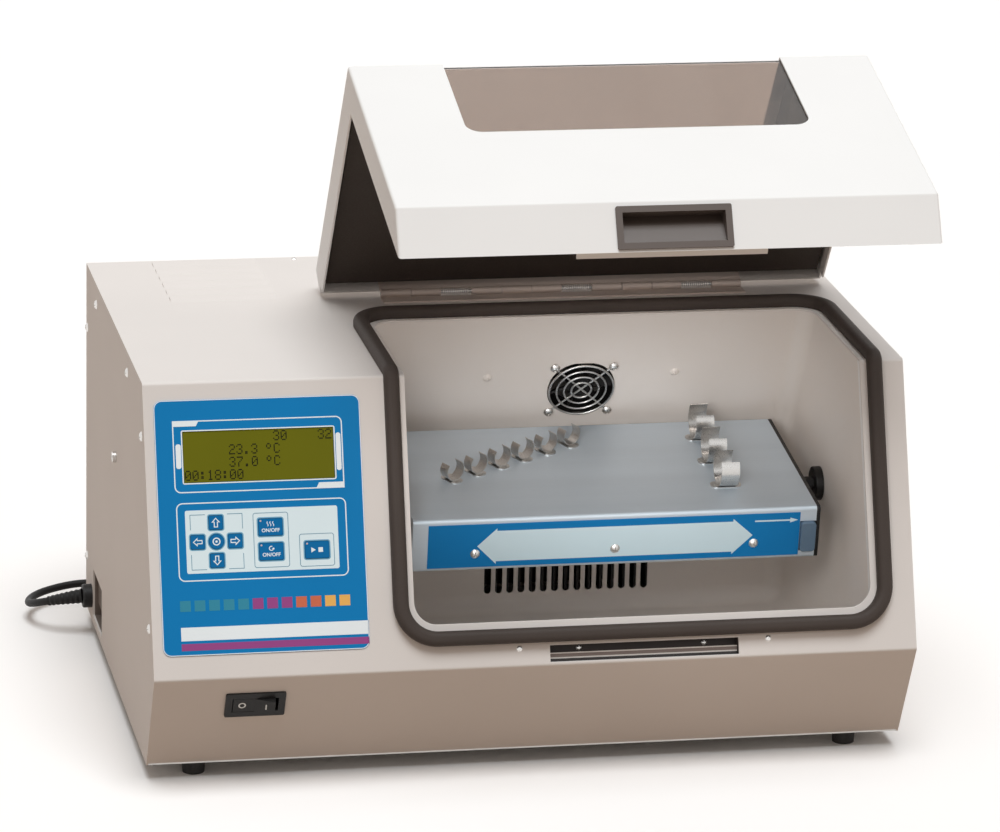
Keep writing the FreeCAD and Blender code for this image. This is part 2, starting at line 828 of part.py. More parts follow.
def make_left_panel():
    start = "-cabinet_width/2"
    panel = make_side_panel("left_panel", start)
    cutout = rectangle(
        "(inlet_y - inlet_length/2)",
        "inlet_low",
        "(inlet_y + inlet_length/2)",
        "(inlet_low + inlet_height)",
    )
    grip = circle("grip_y", "grip_z", "(grip_radius - 2*panel_gauge + fit_clearance)")
    jack = circle("jack_y", "jack_z", "(jack_radius + fit_clearance)")
    panel.cut("YZ_Plane", [cutout, grip, jack], start, "panel_gauge")


def make_rear_panel():
    panel = Piece("rear_panel")
    plate = rectangle(f"-{INNER_HALF}", "panel_gauge", INNER_HALF, "cabinet_height")
    panel.add("XZ_Plane", [plate], "-cabinet_depth", "panel_gauge")
    vents = []
    for index in range(VENTS):
        low = f"(vent_low + {index}*vent_pitch)"
        high = f"({low} + vent_width)"
        vents.append(rectangle("(vent_x - vent_length/2)", low, "(vent_x + vent_length/2)", high))
    holes = [circle(x, z, SCREW_HOLE) for x, z in REAR_SCREWS]
    panel.cut("XZ_Plane", vents + holes, "-cabinet_depth", "panel_gauge")


def make_base():
    base = Piece("base_plate")
    base.add(
        "XY_Plane",
        [rectangle(f"-{INNER_HALF}", f"-{CHIN_FOOT}", INNER_HALF, "cabinet_depth")],
        "0",
        "panel_gauge",
    )


def make_feet():
    places = []
    for side in (-1, 1):
        x = side * value("cabinet_width/2 - foot_inset")
        places += [(x, value("front_foot_y")), (x, value("cabinet_depth - rear_foot_inset"))]
    tread, radius, height = value("foot_tread_radius"), value("foot_radius"), value("foot_height")
    feet = []
    for x, y in places:
        feet.append(Part.makeCone(tread, radius, height, Vector(x, y, -height)))
    grouped("feet", feet)


def screw(place, outward, size=1.0):
    """A pan-head screw with its head seated at place, and a cross recess"""
    head_radius, head_height = size * value("screw_head_radius"), size * value("screw_head_height")
    shank = Part.makeCylinder(
        value("screw_shank_radius"), value("screw_shank_length"), Vector(0, 0, -value("screw_shank_length"))
    )
    dome = (head_radius**2 + head_height**2) / (2 * head_height)
    ball = Part.makeSphere(dome, Vector(0, 0, head_height - dome))
    head = ball.common(Part.makeCylinder(head_radius, head_height))
    narrow, long, floor = head_radius * RECESS_WIDTH, head_radius * RECESS_LENGTH, head_height * RECESS_FLOOR
    for x, y in ((long, narrow), (narrow, long)):
        head = head.cut(Part.makeBox(x, y, head_height, Vector(-x / 2, -y / 2, floor)))
    solid = head.fuse(shank).removeSplitter()
    solid.Placement = Placement(place, Rotation(Vector(0, 0, 1), outward))
    return solid


def make_panel_screws():
    half = value("cabinet_width/2")
    screws = []
    for y, z in SIDE_SCREWS:
        for side in (-1, 1):
            screws.append(screw(Vector(side * half, value(y), value(z)), Vector(side, 0, 0)))
    for x, z in REAR_SCREWS:
        screws.append(screw(Vector(value(x), value("cabinet_depth"), value(z)), Vector(0, 1, 0)))
    top = Vector(value("top_screw_x"), value("cabinet_depth - top_screw_inset"), value("cabinet_height"))
    screws.append(screw(top, Vector(0, 0, 1), SMALL_SCREW))
    for x, drop, depth in FRONT_SCREWS:
        y, z = on_front(drop, depth)
        outward = Vector(0, -value("cos(front_lean)"), value("sin(front_lean)"))
        screws.append(screw(Vector(value(x), value(y), value(z)), outward, SMALL_SCREW))
    grouped("panel_screws", screws)


# Chamber: a formed liner with foam slabs under and behind it

LINER_LIP = on_front("(lip_drop - panel_gauge*tan(front_lean))", "-panel_gauge")
LINER_PATH = [
    (SLOPE_TOP, TOP_INSIDE),
    ("chamber_back", "slope_foot"),
    ("chamber_back", "chamber_floor"),
    (f"({LINER_LIP[0]} + ({LINER_LIP[1]} - chamber_floor)*tan(chin_lean))", "chamber_floor"),
    LINER_LIP,
]
LINER_NORMALS = ["(180 + slope_lean)", "180", "90", "chin_lean"]
LINER_OUTLINE = bent_sheet(
    LINER_PATH,
    LINER_NORMALS,
    "liner_gauge",
    (f"({SLOPE_TOP} + liner_gauge/cos(slope_lean))", TOP_INSIDE),
    moved(LINER_LIP, "(270 - front_lean)", f"liner_gauge/sin{TOE_ANGLE}"),
)
LINER_BACK = LINER_OUTLINE[len(LINER_PATH):]
LINER_SCREWS = ("liner_screw_left_x", "liner_screw_right_x")


def rounded_block(label, outline, bends, start, width, radius):
    """A block with its edges rounded wherever they meet one of the bends"""
    block = Piece(label, written=False)
    block.add("YZ_Plane", [polygon(outline)], start, width)
    spots = [(value(y), value(z)) for y, z in bends]

    def at_bend(edge):
        ends = [(vertex.Y, vertex.Z) for vertex in edge.Vertexes]
        return any(math.dist(end, spot) < 1e-3 for end in ends for spot in spots)

    block.round_off(radius, at_bend)
    return block


def make_liner():
    """A formed tub with rounded corners, open where the lid closes it"""
    relief = "(2*panel_gauge)"
    inside_top_y, inside_top_z = WRAP_INSIDE_TOP
    top_relief = (f"({inside_top_y} + {relief})", inside_top_z)
    front_relief = moved(WRAP_INSIDE_TOP, "(270 - front_lean)", relief)
    liner = rounded_block(
        "liner_outside",
        [top_relief, front_relief] + LINER_BACK,
        LINER_BACK[1:-1],
        f"({CHAMBER_LEFT} - liner_gauge)",
        "(chamber_width + 2*liner_gauge)",
        "(liner_radius + liner_gauge)",
    )
    past_top = moved(LINER_PATH[0], "(90 + slope_lean)", "liner_radius")
    past_lip = moved(LINER_PATH[-1], "(90 + chin_lean)", "liner_radius")
    chamber = rounded_block(
        "chamber_space",
        [past_top] + LINER_PATH[1:-1] + [past_lip, (past_lip[0], past_top[1])],
        LINER_PATH[1:-1],
        CHAMBER_LEFT,
        "chamber_width",
        "liner_radius",
    )
    first = f"(slot_x - {AIR_SLOTS // 2}*slot_pitch)"
    left, right = f"({first} - slot_width/2)", f"({first} + slot_width/2)"
    slot = rounded(left, "slot_low", right, "(slot_low + slot_length)", "slot_corner")
    liner.repeat(
        liner.cut("XZ_Plane", [slot], "-(chamber_back + 2*liner_gauge)", "3*liner_gauge"),
        f"{AIR_SLOTS - 1}*slot_pitch",
        AIR_SLOTS,
    )
    middle_height = "(slope_foot + fan_rise*cos(slope_lean))"
    half = "(fan_screw_pitch/2)"
    reach = f"{half}*cos(slope_lean)"
    hole = "(screw_shank_radius + 2*screw_hole_clearance)"
    screw_holes = [
        circle(f"(fan_x {sx} {half})", f"({middle_height} {sz} {reach})", hole) for sx in "+-" for sz in "+-"
    ]
    screw_height = "(slope_foot + liner_screw_rise*cos(slope_lean))"
    screw_holes += [circle(x, screw_height, hole) for x in LINER_SCREWS]
    bore = rounded(
        "(fan_x - fan_bore)",
        f"({middle_height} - fan_bore*cos(slope_lean))",
        "(fan_x + fan_bore)",
        f"({middle_height} + fan_bore*cos(slope_lean))",
        "fan_mouth_corner",
    )
    depth = f"(chamber_back - {SLOPE_TOP})"
    liner.cut("XZ_Plane", [bore] + screw_holes, "-(chamber_back - liner_gauge)", depth)
    shaft_hole = circle("axis_y", "axis_z", "(shaft_radius + fit_clearance)")
    for side in (f"({CHAMBER_LEFT} - 2*liner_gauge)", f"({CHAMBER_RIGHT} - liner_gauge)"):
        liner.cut("YZ_Plane", [shaft_hole], side, "3*liner_gauge")
    tub = doc.addObject("Part::Cut", "chamber_liner")
    tub.Label = "chamber_liner"
    tub.Base = liner.body
    tub.Tool = chamber.body
    SUBPARTS.append(tub)
    spots = [Vector(value(x), value("liner_screw_rise"), 0) for x in LINER_SCREWS]
    grouped("liner_screws", [screw(spot, Vector(0, 0, 1)) for spot in spots], "slope")


def make_insulation():
    """Foam slabs under the chamber floor and behind its rear wall"""
    left, width = value(CHAMBER_LEFT), value("chamber_width")
    low = value("panel_gauge")
    floor_top = value("chamber_floor - liner_gauge")
    back = value("chamber_back + liner_gauge")
    front = value(LINER_BACK[1][0])
    under = Part.makeBox(width, back - front, floor_top - low, Vector(left, front, low))
    rear_low = value("slot_low + slot_length + liner_gauge")
    rear_high = value("slope_foot - liner_gauge")
    thickness = value("insulation_thickness")
    behind = Part.makeBox(width, thickness, rear_high - rear_low, Vector(left, back, rear_low))
    grouped("insulation", [under, behind])


def route_edges(points, radii, closed=False):
    """Straight runs through the points, joined by tangent arcs of the given radii"""
    count = len(points)
    edges = []
    start = None
    first = None
    for index in range(count):
        here = points[index]
        radius = radii[index]
        if radius == 0:
            entry = leave = here
        else:
            to_last = (points[index - 1] - here).normalize()
            to_next = (points[(index + 1) % count] - here).normalize()
            half_turn = (math.pi - to_last.getAngle(to_next)) / 2
            setback = radius * math.tan(half_turn)
            entry, leave = here + to_last * setback, here + to_next * setback
            inward = (to_last + to_next).normalize()
            middle = here + inward * (radius / math.cos(half_turn) - radius)
        if start is not None:
            edges.append(Part.LineSegment(start, entry).toShape())
        if radius:
            edges.append(Part.Arc(entry, middle, leave).toShape())
        if first is None:
            first = entry
        start = leave
    if closed:
        edges.append(Part.LineSegment(start, first).toShape())
    return edges


def pipe(edges, profile):
    """A solid swept along joined edges"""
    shell = Part.BRepOffsetAPI.MakePipeShell(Part.Wire(edges))
    shell.add(profile)
    shell.build()
    shell.makeSolid()
    return shell.shape()


def make_gasket():
    """A bulb seal round the opening, bent over the front top edge"""
    width, height = value("gasket_width"), value("gasket_height")
    left = value(f"{CHAMBER_LEFT} - gasket_inset - gasket_width/2")
    right = value(f"{CHAMBER_RIGHT} + gasket_inset + gasket_width/2")
    rear = value(f"{SLOPE_TOP} + gasket_inset + gasket_width/2")
    lift = height / 2
    top = value("cabinet_height") + lift
    over = [value(part) for part in corner(TOP_EDGE, TOP_NORMAL, FRONT_NORMAL, "gasket_height/2")]
    low = [value(part) for part in on_front("lip_drop + gasket_inset + gasket_width/2", "gasket_height/2")]
    bend = value("opening_radius + gasket_inset + gasket_width/2")
    crest = value("bend_radius + gasket_height/2")
    middle = (left + right) / 2
    points = [
        Vector(middle, rear, top),
        Vector(right, rear, top),
        Vector(right, *over),
        Vector(right, *low),
        Vector(left, *low),
        Vector(left, *over),
        Vector(left, rear, top),
    ]
    edges = route_edges(points, [0, bend, crest, bend, bend, crest, bend], closed=True)
    crown, root = value("gasket_crown_radius"), value("gasket_root_radius")
    half = width / 2
    corners = [
        Vector(middle, rear - half, top - lift),
        Vector(middle, rear + half, top - lift),
        Vector(middle, rear + half, top + lift),
        Vector(middle, rear - half, top + lift),
    ]
    profile = Part.Wire(route_edges(corners, [root, root, crown, crown], closed=True))
    formed("opening_gasket", pipe(edges, profile))


# Lid hinge

HINGE_LEFT = f"(hinge_x - {KNUCKLES}*knuckle_length/2)"


def add_knuckles(leaf, numbers, tab, y, z):
    """Rolled knuckles and their tabs at some of the hinge's places, with the pin's bore"""
    for number in numbers:
        start = f"({HINGE_LEFT} + {number}*knuckle_length + knuckle_gap)"
        length = "(knuckle_length - 2*knuckle_gap)"
        leaf.add("YZ_Plane", [tab], start, length)
        leaf.add("YZ_Plane", [circle(y, z, "knuckle_radius")], start, length)
    bore = circle(y, z, "(pin_radius + pin_clearance)")
    leaf.cut("YZ_Plane", [bore], HINGE_LEFT, f"{KNUCKLES}*knuckle_length")


LEAF_GAP = "(knuckle_radius + 2*knuckle_gap)"


def make_hinge():
    fixed = Piece("hinge_fixed_leaf")
    leaf_top = "(cabinet_height + leaf_thickness)"
    plate = rectangle("(hinge_y - leaf_width)", "cabinet_height", f"(hinge_y - {LEAF_GAP})", leaf_top)
    fixed.add("YZ_Plane", [plate], HINGE_LEFT, f"{KNUCKLES}*knuckle_length")
    tab = rectangle(f"(hinge_y - {LEAF_GAP} - knuckle_gap)", "cabinet_height", "hinge_y", leaf_top)
    add_knuckles(fixed, FIXED_KNUCKLES, tab, "hinge_y", AXLE_Z)

    moving = Piece("hinge_moving_leaf", "lid")
    back = "(lid_back - panel_gauge)"
    front = f"({back} - leaf_thickness)"
    plate = rectangle(front, LEAF_GAP, back, "leaf_width")
    moving.add("YZ_Plane", [plate], HINGE_LEFT, f"{KNUCKLES}*knuckle_length")
    tab = rectangle(front, "0", back, f"({LEAF_GAP} + knuckle_gap)")
    add_knuckles(moving, MOVING_KNUCKLES, tab, "0", "0")

    pin = Piece("hinge_pin")
    pin.add("YZ_Plane", [circle("hinge_y", AXLE_Z, "pin_radius")], HINGE_LEFT, f"{KNUCKLES}*knuckle_length")


def biarc(first, first_way, last, last_way):
    """Two tangent arcs between two points with given directions"""
    chord = last - first
    ways = first_way + last_way
    a = 2 * (first_way.dot(last_way) - 1)
    b = -2 * chord.dot(ways)
    c = chord.dot(chord)
    reach = c / -b if abs(a) < 1e-9 else (-b - math.sqrt(b * b - 4 * a * c)) / (2 * a)
    near, far = first + first_way * reach, last - last_way * reach
    joint = (near + far) * 0.5
    edges = []
    for start, apex, end in ((first, near, joint), (joint, far, last)):
        middle = (start + end) * 0.5
        half_chord = (end - start).Length / 2
        half_turn = math.atan2((apex - middle).Length, half_chord)
        crest = middle + (apex - middle).normalize() * (half_chord * math.tan(half_turn / 2))
        edges.append(Part.Arc(start, crest, end).toShape())
    return edges


def wound_edges(place, parameters):
    """Biarcs through a formula's points, with directions taken from the formula itself"""
    step = 1e-4
    points = [place(p) for p in parameters]
    ways = [(place(p + step) - place(p - step)).normalize() for p in parameters]
    edges = []
    for index in range(len(points) - 1):
        edges += biarc(points[index], ways[index], points[index + 1], ways[index + 1])
    return edges, ways


def least_gap(place, start, end, diameter, samples=720):
    """Least distance between the walls of one tube's turns, on points of its formula"""
    points = [place(start + (end - start) * n / samples) for n in range(samples + 1)]
    nearest = math.inf
    for index, here in enumerate(points):
        length = 0.0
        for follower in range(index + 1, len(points)):
            length += (points[follower] - points[follower - 1]).Length
            if length > 2 * diameter:
                nearest = min(nearest, (points[follower] - here).Length)
    return nearest - diameter


def make_hinge_springs():
    """Closing springs wound round the pin in three of the hinge's places"""
    wire, radius = value("spring_wire_radius"), value("spring_coil_radius")
    room = value("knuckle_length - 4*knuckle_gap") - 2 * wire
    rise = room / SPRING_TURNS
    y, z = value("hinge_y"), value(AXLE_Z)
    springs = []
    for number in SPRING_KNUCKLES:
        left = value(f"{HINGE_LEFT} + {number}*knuckle_length + 2*knuckle_gap") + wire

        def place(turns, left=left):
            angle = 2 * math.pi * turns
            return Vector(left + rise * turns, y + radius * math.cos(angle), z + radius * math.sin(angle))

        edges, ways = wound_edges(place, [n / 4 for n in range(4 * SPRING_TURNS + 1)])
        profile = Part.Wire(Part.Circle(place(0), ways[0], wire).toShape())
        springs.append(pipe(edges, profile))
    gap = least_gap(place, 0, SPRING_TURNS, 2 * wire, 52 * SPRING_TURNS)
    print(f"hinge spring: {SPRING_TURNS} turns, least gap {gap:.2f} mm")
    grouped("hinge_springs", springs)


# Lid: a formed shell with a dark lining, a wrapped window, a recessed pull and a strike

LID_SHELL = [from_axle(point) for point in (("(hinge_y + lid_back)", LID_TOP), LID_BEND, LID_TOE, LID_END)]
LID_REAR_GAP = "(2*knuckle_radius + lid_gap)"
LID_LEFT = "(lid_x - lid_width/2)"


def lid_window_loop(inner, outer):
    """Side view of what the window takes out of the lid, between two depths under its skin"""
    bend = from_axle(LID_BEND)
    back = f"({bend[0]} + window_back)"
    down = moved(bend, "(270 - front_lean)", "window_down")
    return [
        (back, f"({bend[1]} + {outer})"),
        (back, f"({bend[1]} - {inner})"),
        corner(bend, TOP_NORMAL, FRONT_NORMAL, f"-{inner}"),
        moved(down, FRONT_NORMAL, f"-{inner}"),
        moved(down, FRONT_NORMAL, outer),
        corner(bend, TOP_NORMAL, FRONT_NORMAL, outer),
    ]


def pull_loop(near, far, deep, proud):
    """Side view of a stretch of the lid's toe panel, by distances down it and through it"""
    toe = from_axle(LID_TOE)
    ends = [moved(toe, "(chin_lean - 90)", drop) for drop in (near, far)]
    return [
        moved(ends[0], CHIN_NORMAL, proud),
        moved(ends[0], CHIN_NORMAL, f"-{deep}"),
        moved(ends[1], CHIN_NORMAL, f"-{deep}"),
        moved(ends[1], CHIN_NORMAL, proud),
    ]


CUP_TOP = "(handle_drop + handle_frame - handle_wall - fit_clearance)"
CUP_LOW = "(handle_drop + handle_height - handle_frame + handle_wall + fit_clearance)"
CUP_HALF = "(handle_width/2 - handle_frame + handle_wall + fit_clearance)"


def make_lid_shell():
    shell = Piece("lid_shell", "lid")
    apex = from_axle(corner(TOP_EDGE, TOP_NORMAL, FRONT_NORMAL, "lid_gap"))
    surface = "(lid_gap - hinge_lift)"
    outline = LID_SHELL + [
        apex,
        (f"(-{LID_REAR_GAP})", surface),
        (f"(-{LID_REAR_GAP})", LEAF_GAP),
        ("lid_back", LEAF_GAP),
    ]
    shell.add("YZ_Plane", [polygon(outline)], LID_LEFT, "lid_width")
    ends = [value(LID_LEFT), value(f"{LID_LEFT} + lid_width")]
    ridge = [(value(y), value(z)) for y, z in LID_SHELL]

    def on_skin(edge):
        """Edges of the outer skin: its bends, and its rims at both ends"""
        if not edge.Vertexes or len(edge.Vertexes) != 2:
            return False
        spots = [(vertex.Y, vertex.Z) for vertex in edge.Vertexes]
        index = [next((n for n, r in enumerate(ridge) if math.dist(spot, r) < 1e-3), None) for spot in spots]
        if None in index:
            return False
        along_x = index[0] == index[1]
        return index[0] in (0, 1, 2) if along_x else any(lies_at(edge, x=end) for end in ends)

    shell.round_off("lid_edge_radius", on_skin)
    skin_top = f"({LID_SHELL[0][1]} - panel_gauge)"
    skin_back = "(lid_back - panel_gauge)"
    below = "8*panel_gauge"
    hollow = [
        (skin_back, skin_top),
        corner(LID_SHELL[1], TOP_NORMAL, FRONT_NORMAL, "-panel_gauge"),
        corner(LID_SHELL[2], FRONT_NORMAL, CHIN_NORMAL, "-panel_gauge"),
        moved(moved(LID_SHELL[3], CHIN_NORMAL, "-panel_gauge"), "(chin_lean - 90)", "4*panel_gauge"),
        (apex[0], f"({apex[1]} - {below})"),
        (skin_back, f"({surface} - {below})"),
    ]
    shell.cut("YZ_Plane", [polygon(hollow)], f"({LID_LEFT} + panel_gauge)", "(lid_width - 2*panel_gauge)")
    window = polygon(lid_window_loop("(2*panel_gauge)", "(2*panel_gauge)"))
    shell.cut("YZ_Plane", [window], "(window_x - window_width/2)", "window_width")
    sides = [value(f"window_x {sign} window_width/2") for sign in "-+"]
    foot = moved(from_axle(LID_BEND), "(270 - front_lean)", "window_down")
    foot_y, foot_z = value(foot[0]), value(foot[1])

    def window_corner(edge):
        if not any(lies_at(edge, x=side) for side in sides):
            return False
        return any(math.dist((vertex.Y, vertex.Z), (foot_y, foot_z)) < 1e-3 for vertex in edge.Vertexes) and (
            edge.Length < value("2*panel_gauge")
        )

    shell.round_off("window_radius", window_corner)
    pull = polygon(pull_loop(CUP_TOP, CUP_LOW, "(2*panel_gauge)", "(2*panel_gauge)"))
    shell.cut("YZ_Plane", [pull], f"(handle_x - {CUP_HALF})", f"2*{CUP_HALF}")


def make_lid_lining():
    lining = Piece("lid_lining", "lid")
    skin = "(panel_gauge + lining_gap)"
    seat = "(gasket_height + seal_gap)"
    rear = f"(-{LID_REAR_GAP})"
    toe_skin_drop = f"((lid_front - {seat} - {skin}/cos{TOE_ANGLE})/tan{TOE_ANGLE})"
    toe_low = from_axle(on_front(f"(lid_toe_drop + {toe_skin_drop})", seat))
    outline = [
        (rear, f"({LID_SHELL[0][1]} - {skin})"),
        corner(LID_SHELL[1], TOP_NORMAL, FRONT_NORMAL, f"-{skin}"),
        corner(LID_SHELL[2], FRONT_NORMAL, CHIN_NORMAL, f"-{skin}"),
        toe_low,
        from_axle(corner(TOP_EDGE, TOP_NORMAL, FRONT_NORMAL, seat)),
        (rear, f"({seat} - hinge_lift)"),
    ]
    inset = "(panel_gauge + lining_inset)"
    lining.add("YZ_Plane", [polygon(outline)], f"({LID_LEFT} + {inset})", f"(lid_width - 2*{inset})")
    margin = "(window_margin + lining_gap)"
    bend = from_axle(LID_BEND)
    back = f"({bend[0]} + window_back + {margin})"
    down = moved(bend, "(270 - front_lean)", f"(window_down + {margin})")
    deep = "(2*lid_rise)"
    light = polygon(
        [
            (back, f"({bend[1]} + {margin})"),
            (back, f"({bend[1]} - {deep})"),
            moved(down, FRONT_NORMAL, f"-{deep}"),
            moved(down, FRONT_NORMAL, margin),
            corner(bend, TOP_NORMAL, FRONT_NORMAL, margin),
        ]
    )
    lining.cut("YZ_Plane", [light], f"(window_x - window_width/2 - {margin})", f"(window_width + 2*{margin})")
    room = "(handle_depth + handle_wall + lining_gap)"
    pull = polygon(pull_loop(f"({CUP_TOP} - lining_gap)", "(2*lid_toe_length)", room, "lid_front"))
    lining.cut("YZ_Plane", [pull], f"(handle_x - {CUP_HALF} - lining_gap)", f"(2*{CUP_HALF} + 2*lining_gap)")


def make_lid_window():
    pane = Piece("lid_window", "lid")
    bend = from_axle(LID_BEND)
    skin = "panel_gauge"
    under = "(panel_gauge + pane_thickness)"
    back = f"({bend[0]} + window_back + window_margin)"
    down = moved(bend, "(270 - front_lean)", "(window_down + window_margin)")
    outline = [
        (back, f"({bend[1]} - {skin})"),
        corner(bend, TOP_NORMAL, FRONT_NORMAL, f"-{skin}"),
        moved(down, FRONT_NORMAL, f"-{skin}"),
        moved(down, FRONT_NORMAL, f"-{under}"),
        corner(bend, TOP_NORMAL, FRONT_NORMAL, f"-{under}"),
        (back, f"({bend[1]} - {under})"),
    ]
    pane.add(
        "YZ_Plane",
        [polygon(outline)],
        "(window_x - window_width/2 - window_margin)",
        "(window_width + 2*window_margin)",
    )
    outer, inner = at_corner(outline[1]), at_corner(outline[4])
    pane.round_off("(2*pane_thickness)", outer)
    pane.round_off("pane_thickness", inner)


def make_lid_handle():
    """A finger pull: a rim, and behind it a cup whose floor ramps out to the lower rim"""
    pull = Piece("lid_handle", "toe")
    half = "handle_width/2"
    top, low = "(-handle_drop)", "(-handle_drop - handle_height)"
    rim = rounded(f"(handle_x - {half})", low, f"(handle_x + {half})", top, "handle_wall")
    pull.add("XY_Plane", [rim], "0", "handle_rim")

    def cup(wall, mouth):
        """Side view of the cup, grown by a wall and open at its mouth"""
        upper, lower = f"({top} - handle_frame + {wall})", f"({low} + handle_frame - {wall})"
        return polygon(
            [
                (upper, mouth),
                (upper, f"(-handle_depth - {wall})"),
                (f"({top} - handle_knee_drop - {wall})", f"(-handle_knee_depth - {wall})"),
                (lower, f"(-handle_lip - {wall})"),
                (lower, mouth),
            ]
        )

    inside = "(handle_width - 2*handle_frame)"
    outside = f"({inside} + 2*handle_wall)"
    pull.add("YZ_Plane", [cup("handle_wall", "(handle_rim/2)")], f"(handle_x - {outside}/2)", outside)
    pull.cut("YZ_Plane", [cup("0", "(2*handle_rim)")], f"(handle_x - {inside}/2)", inside)


def make_strike():
    strike = Piece("lid_strike", "lid")

    def skin(drop):
        """Inner face of the toe panel, by its height over the sloping front"""
        return f"(lid_front - ({drop} - lid_toe_drop)*tan{TOE_ANGLE} - panel_gauge/cos{TOE_ANGLE})"

    near, far = "(strike_drop - strike_thickness/2)", "(strike_drop + strike_thickness/2)"
    outline = [
        on_front(near, "-strike_reach"),
        on_front(far, "-strike_reach"),
        on_front(far, skin(far)),
        on_front(near, skin(near)),
    ]
    blade = polygon([from_axle(point) for point in outline])
    strike.add("YZ_Plane", [blade], "(catch_x - strike_width/2)", "strike_width")


def make_catch():
    """A shallow channel behind the slot, with a magnet bar across it"""
    channel = Piece("catch_channel", "front")
    left, right = "(catch_x - catch_width/2)", "(catch_x + catch_width/2)"
    top, low = "(-catch_top)", "(-catch_top - catch_height)"
    wall = "catch_wall"
    block = rectangle(
        f"({left} - {wall})", f"({low} - catch_low_wall)", f"({right} + {wall})", f"({top} + {wall})"
    )
    depth = f"(catch_depth + {wall})"
    channel.add("XY_Plane", [block], f"-(panel_gauge + {depth})", depth)
    hollow = rectangle(left, low, right, top)
    channel.cut("XY_Plane", [hollow], "-(panel_gauge + catch_depth)", "catch_depth")
    holes = [circle(x, f"(-{drop})", SCREW_HOLE) for x, drop, depth in FRONT_SCREWS if depth == CATCH_BACK]
    channel.cut("XY_Plane", holes, "-(panel_gauge + catch_depth + 2*catch_wall)", "(2*catch_wall)")

    magnet = Piece("catch_magnet", "front")
    gap = "fit_clearance"
    bar_low = f"({low} + {gap})"
    bar = rectangle(f"({left} + {gap})", bar_low, f"({right} - {gap})", f"({bar_low} + magnet_height)")
    depth = "(panel_gauge + catch_depth - strike_reach - magnet_gap)"
    magnet.add("XY_Plane", [bar], "-(panel_gauge + catch_depth)", depth)


# Control panel: a printed overlay with a display window and eight keys

ARROW_KEYS = {
    "key_up": ("0", "-arrow_spacing"),
    "key_left": ("-arrow_spacing", "0"),
    "key_right": ("arrow_spacing", "0"),
    "key_down": ("0", "arrow_spacing"),
}


def key_outlines(grow):
    """The outline of every key, grown by a clearance"""
    outlines = {}
    half = f"(arrow_key/2 + {grow})"
    corner_radius = f"(key_corner + {grow})"
    for name, (across, down) in ARROW_KEYS.items():
        x, y = f"(arrow_x + {across})", f"(-arrow_down - {down})"
        outlines[name] = rounded(
            f"({x} - {half})", f"({y} - {half})", f"({x} + {half})", f"({y} + {half})", corner_radius
        )
    outlines["key_enter"] = circle("arrow_x", "(-arrow_down)", f"(round_key_radius + {grow})")
    for name, x, drop in (
        ("key_heat", "mode_key_x", "upper_key_down"),
        ("key_mix", "mode_key_x", "lower_key_down"),
        ("key_start", "start_key_x", "lower_key_down"),
    ):
        across, up = f"(mode_key_width/2 + {grow})", f"(mode_key_height/2 + {grow})"
        outlines[name] = rounded(
            f"({x} - {across})", f"(-{drop} - {up})", f"({x} + {across})", f"(-{drop} + {up})", corner_radius
        )
    return outlines


def make_controls():
    overlay = Piece("control_overlay", "front")
    left, right = "(overlay_x - overlay_width/2)", "(overlay_x + overlay_width/2)"
    top, low = "(-overlay_top)", "(-overlay_top - overlay_height)"
    overlay.add("XY_Plane", [rounded(left, low, right, top, "overlay_radius")], "0", "overlay_thickness")
    lcd_left, lcd_right = "(overlay_x - lcd_width/2)", "(overlay_x + lcd_width/2)"
    lcd_top, lcd_low = "(-lcd_top)", "(-lcd_top - lcd_height)"
    gap = "fit_clearance"
    glass = rectangle(
        f"({lcd_left} - {gap})", f"({lcd_low} - {gap})", f"({lcd_right} + {gap})", f"({lcd_top} + {gap})"
    )
    holes = [glass] + list(key_outlines(gap).values())
    overlay.cut("XY_Plane", holes, "0", "overlay_thickness")

    module = Piece("lcd_module", "front")
    middle = "(-lcd_top - lcd_height/2)"
    board = rectangle(
        "(overlay_x - lcd_board_width/2)",
        f"({middle} - lcd_board_height/2)",
        "(overlay_x + lcd_board_width/2)",
        f"({middle} + lcd_board_height/2)",
    )
    module.add("XY_Plane", [board], "-(panel_gauge + board_thickness)", "board_thickness")
    cell = rectangle(lcd_left, lcd_low, lcd_right, lcd_top)
    module.add("XY_Plane", [cell], "-(panel_gauge + lcd_depth)", "(panel_gauge + lcd_depth)")

    for name, outline in key_outlines("0").items():
        key = Piece(name, "front")
        key.add("XY_Plane", [outline], "-key_body", "(key_body + overlay_thickness + key_proud)")

    board = Piece("key_board", "front")
    field = rectangle(
        "(overlay_x - keypad_width/2 - 2*panel_gauge)",
        "(-keypad_top - keypad_height + 2*panel_gauge)",
        "(overlay_x + keypad_width/2 + 2*panel_gauge)",
        "(-keypad_top - 2*panel_gauge)",
    )
    depth = "(key_body + key_travel + fit_clearance)"
    board.add("XY_Plane", [field], f"-({depth} + board_thickness)", "board_thickness")
    for side in "-+":
        edge = f"(overlay_x {side} (keypad_width/2 + panel_gauge))"
        rail = rectangle(
            f"({edge} - panel_gauge/2)",
            "(-keypad_top - keypad_height + 2*panel_gauge)",
            f"({edge} + panel_gauge/2)",
            "(-keypad_top - 2*panel_gauge)",
        )
        foot = f"({depth} + board_thickness/2)"
        board.add("XY_Plane", [rail], f"-{foot}", f"({foot} - panel_gauge)")


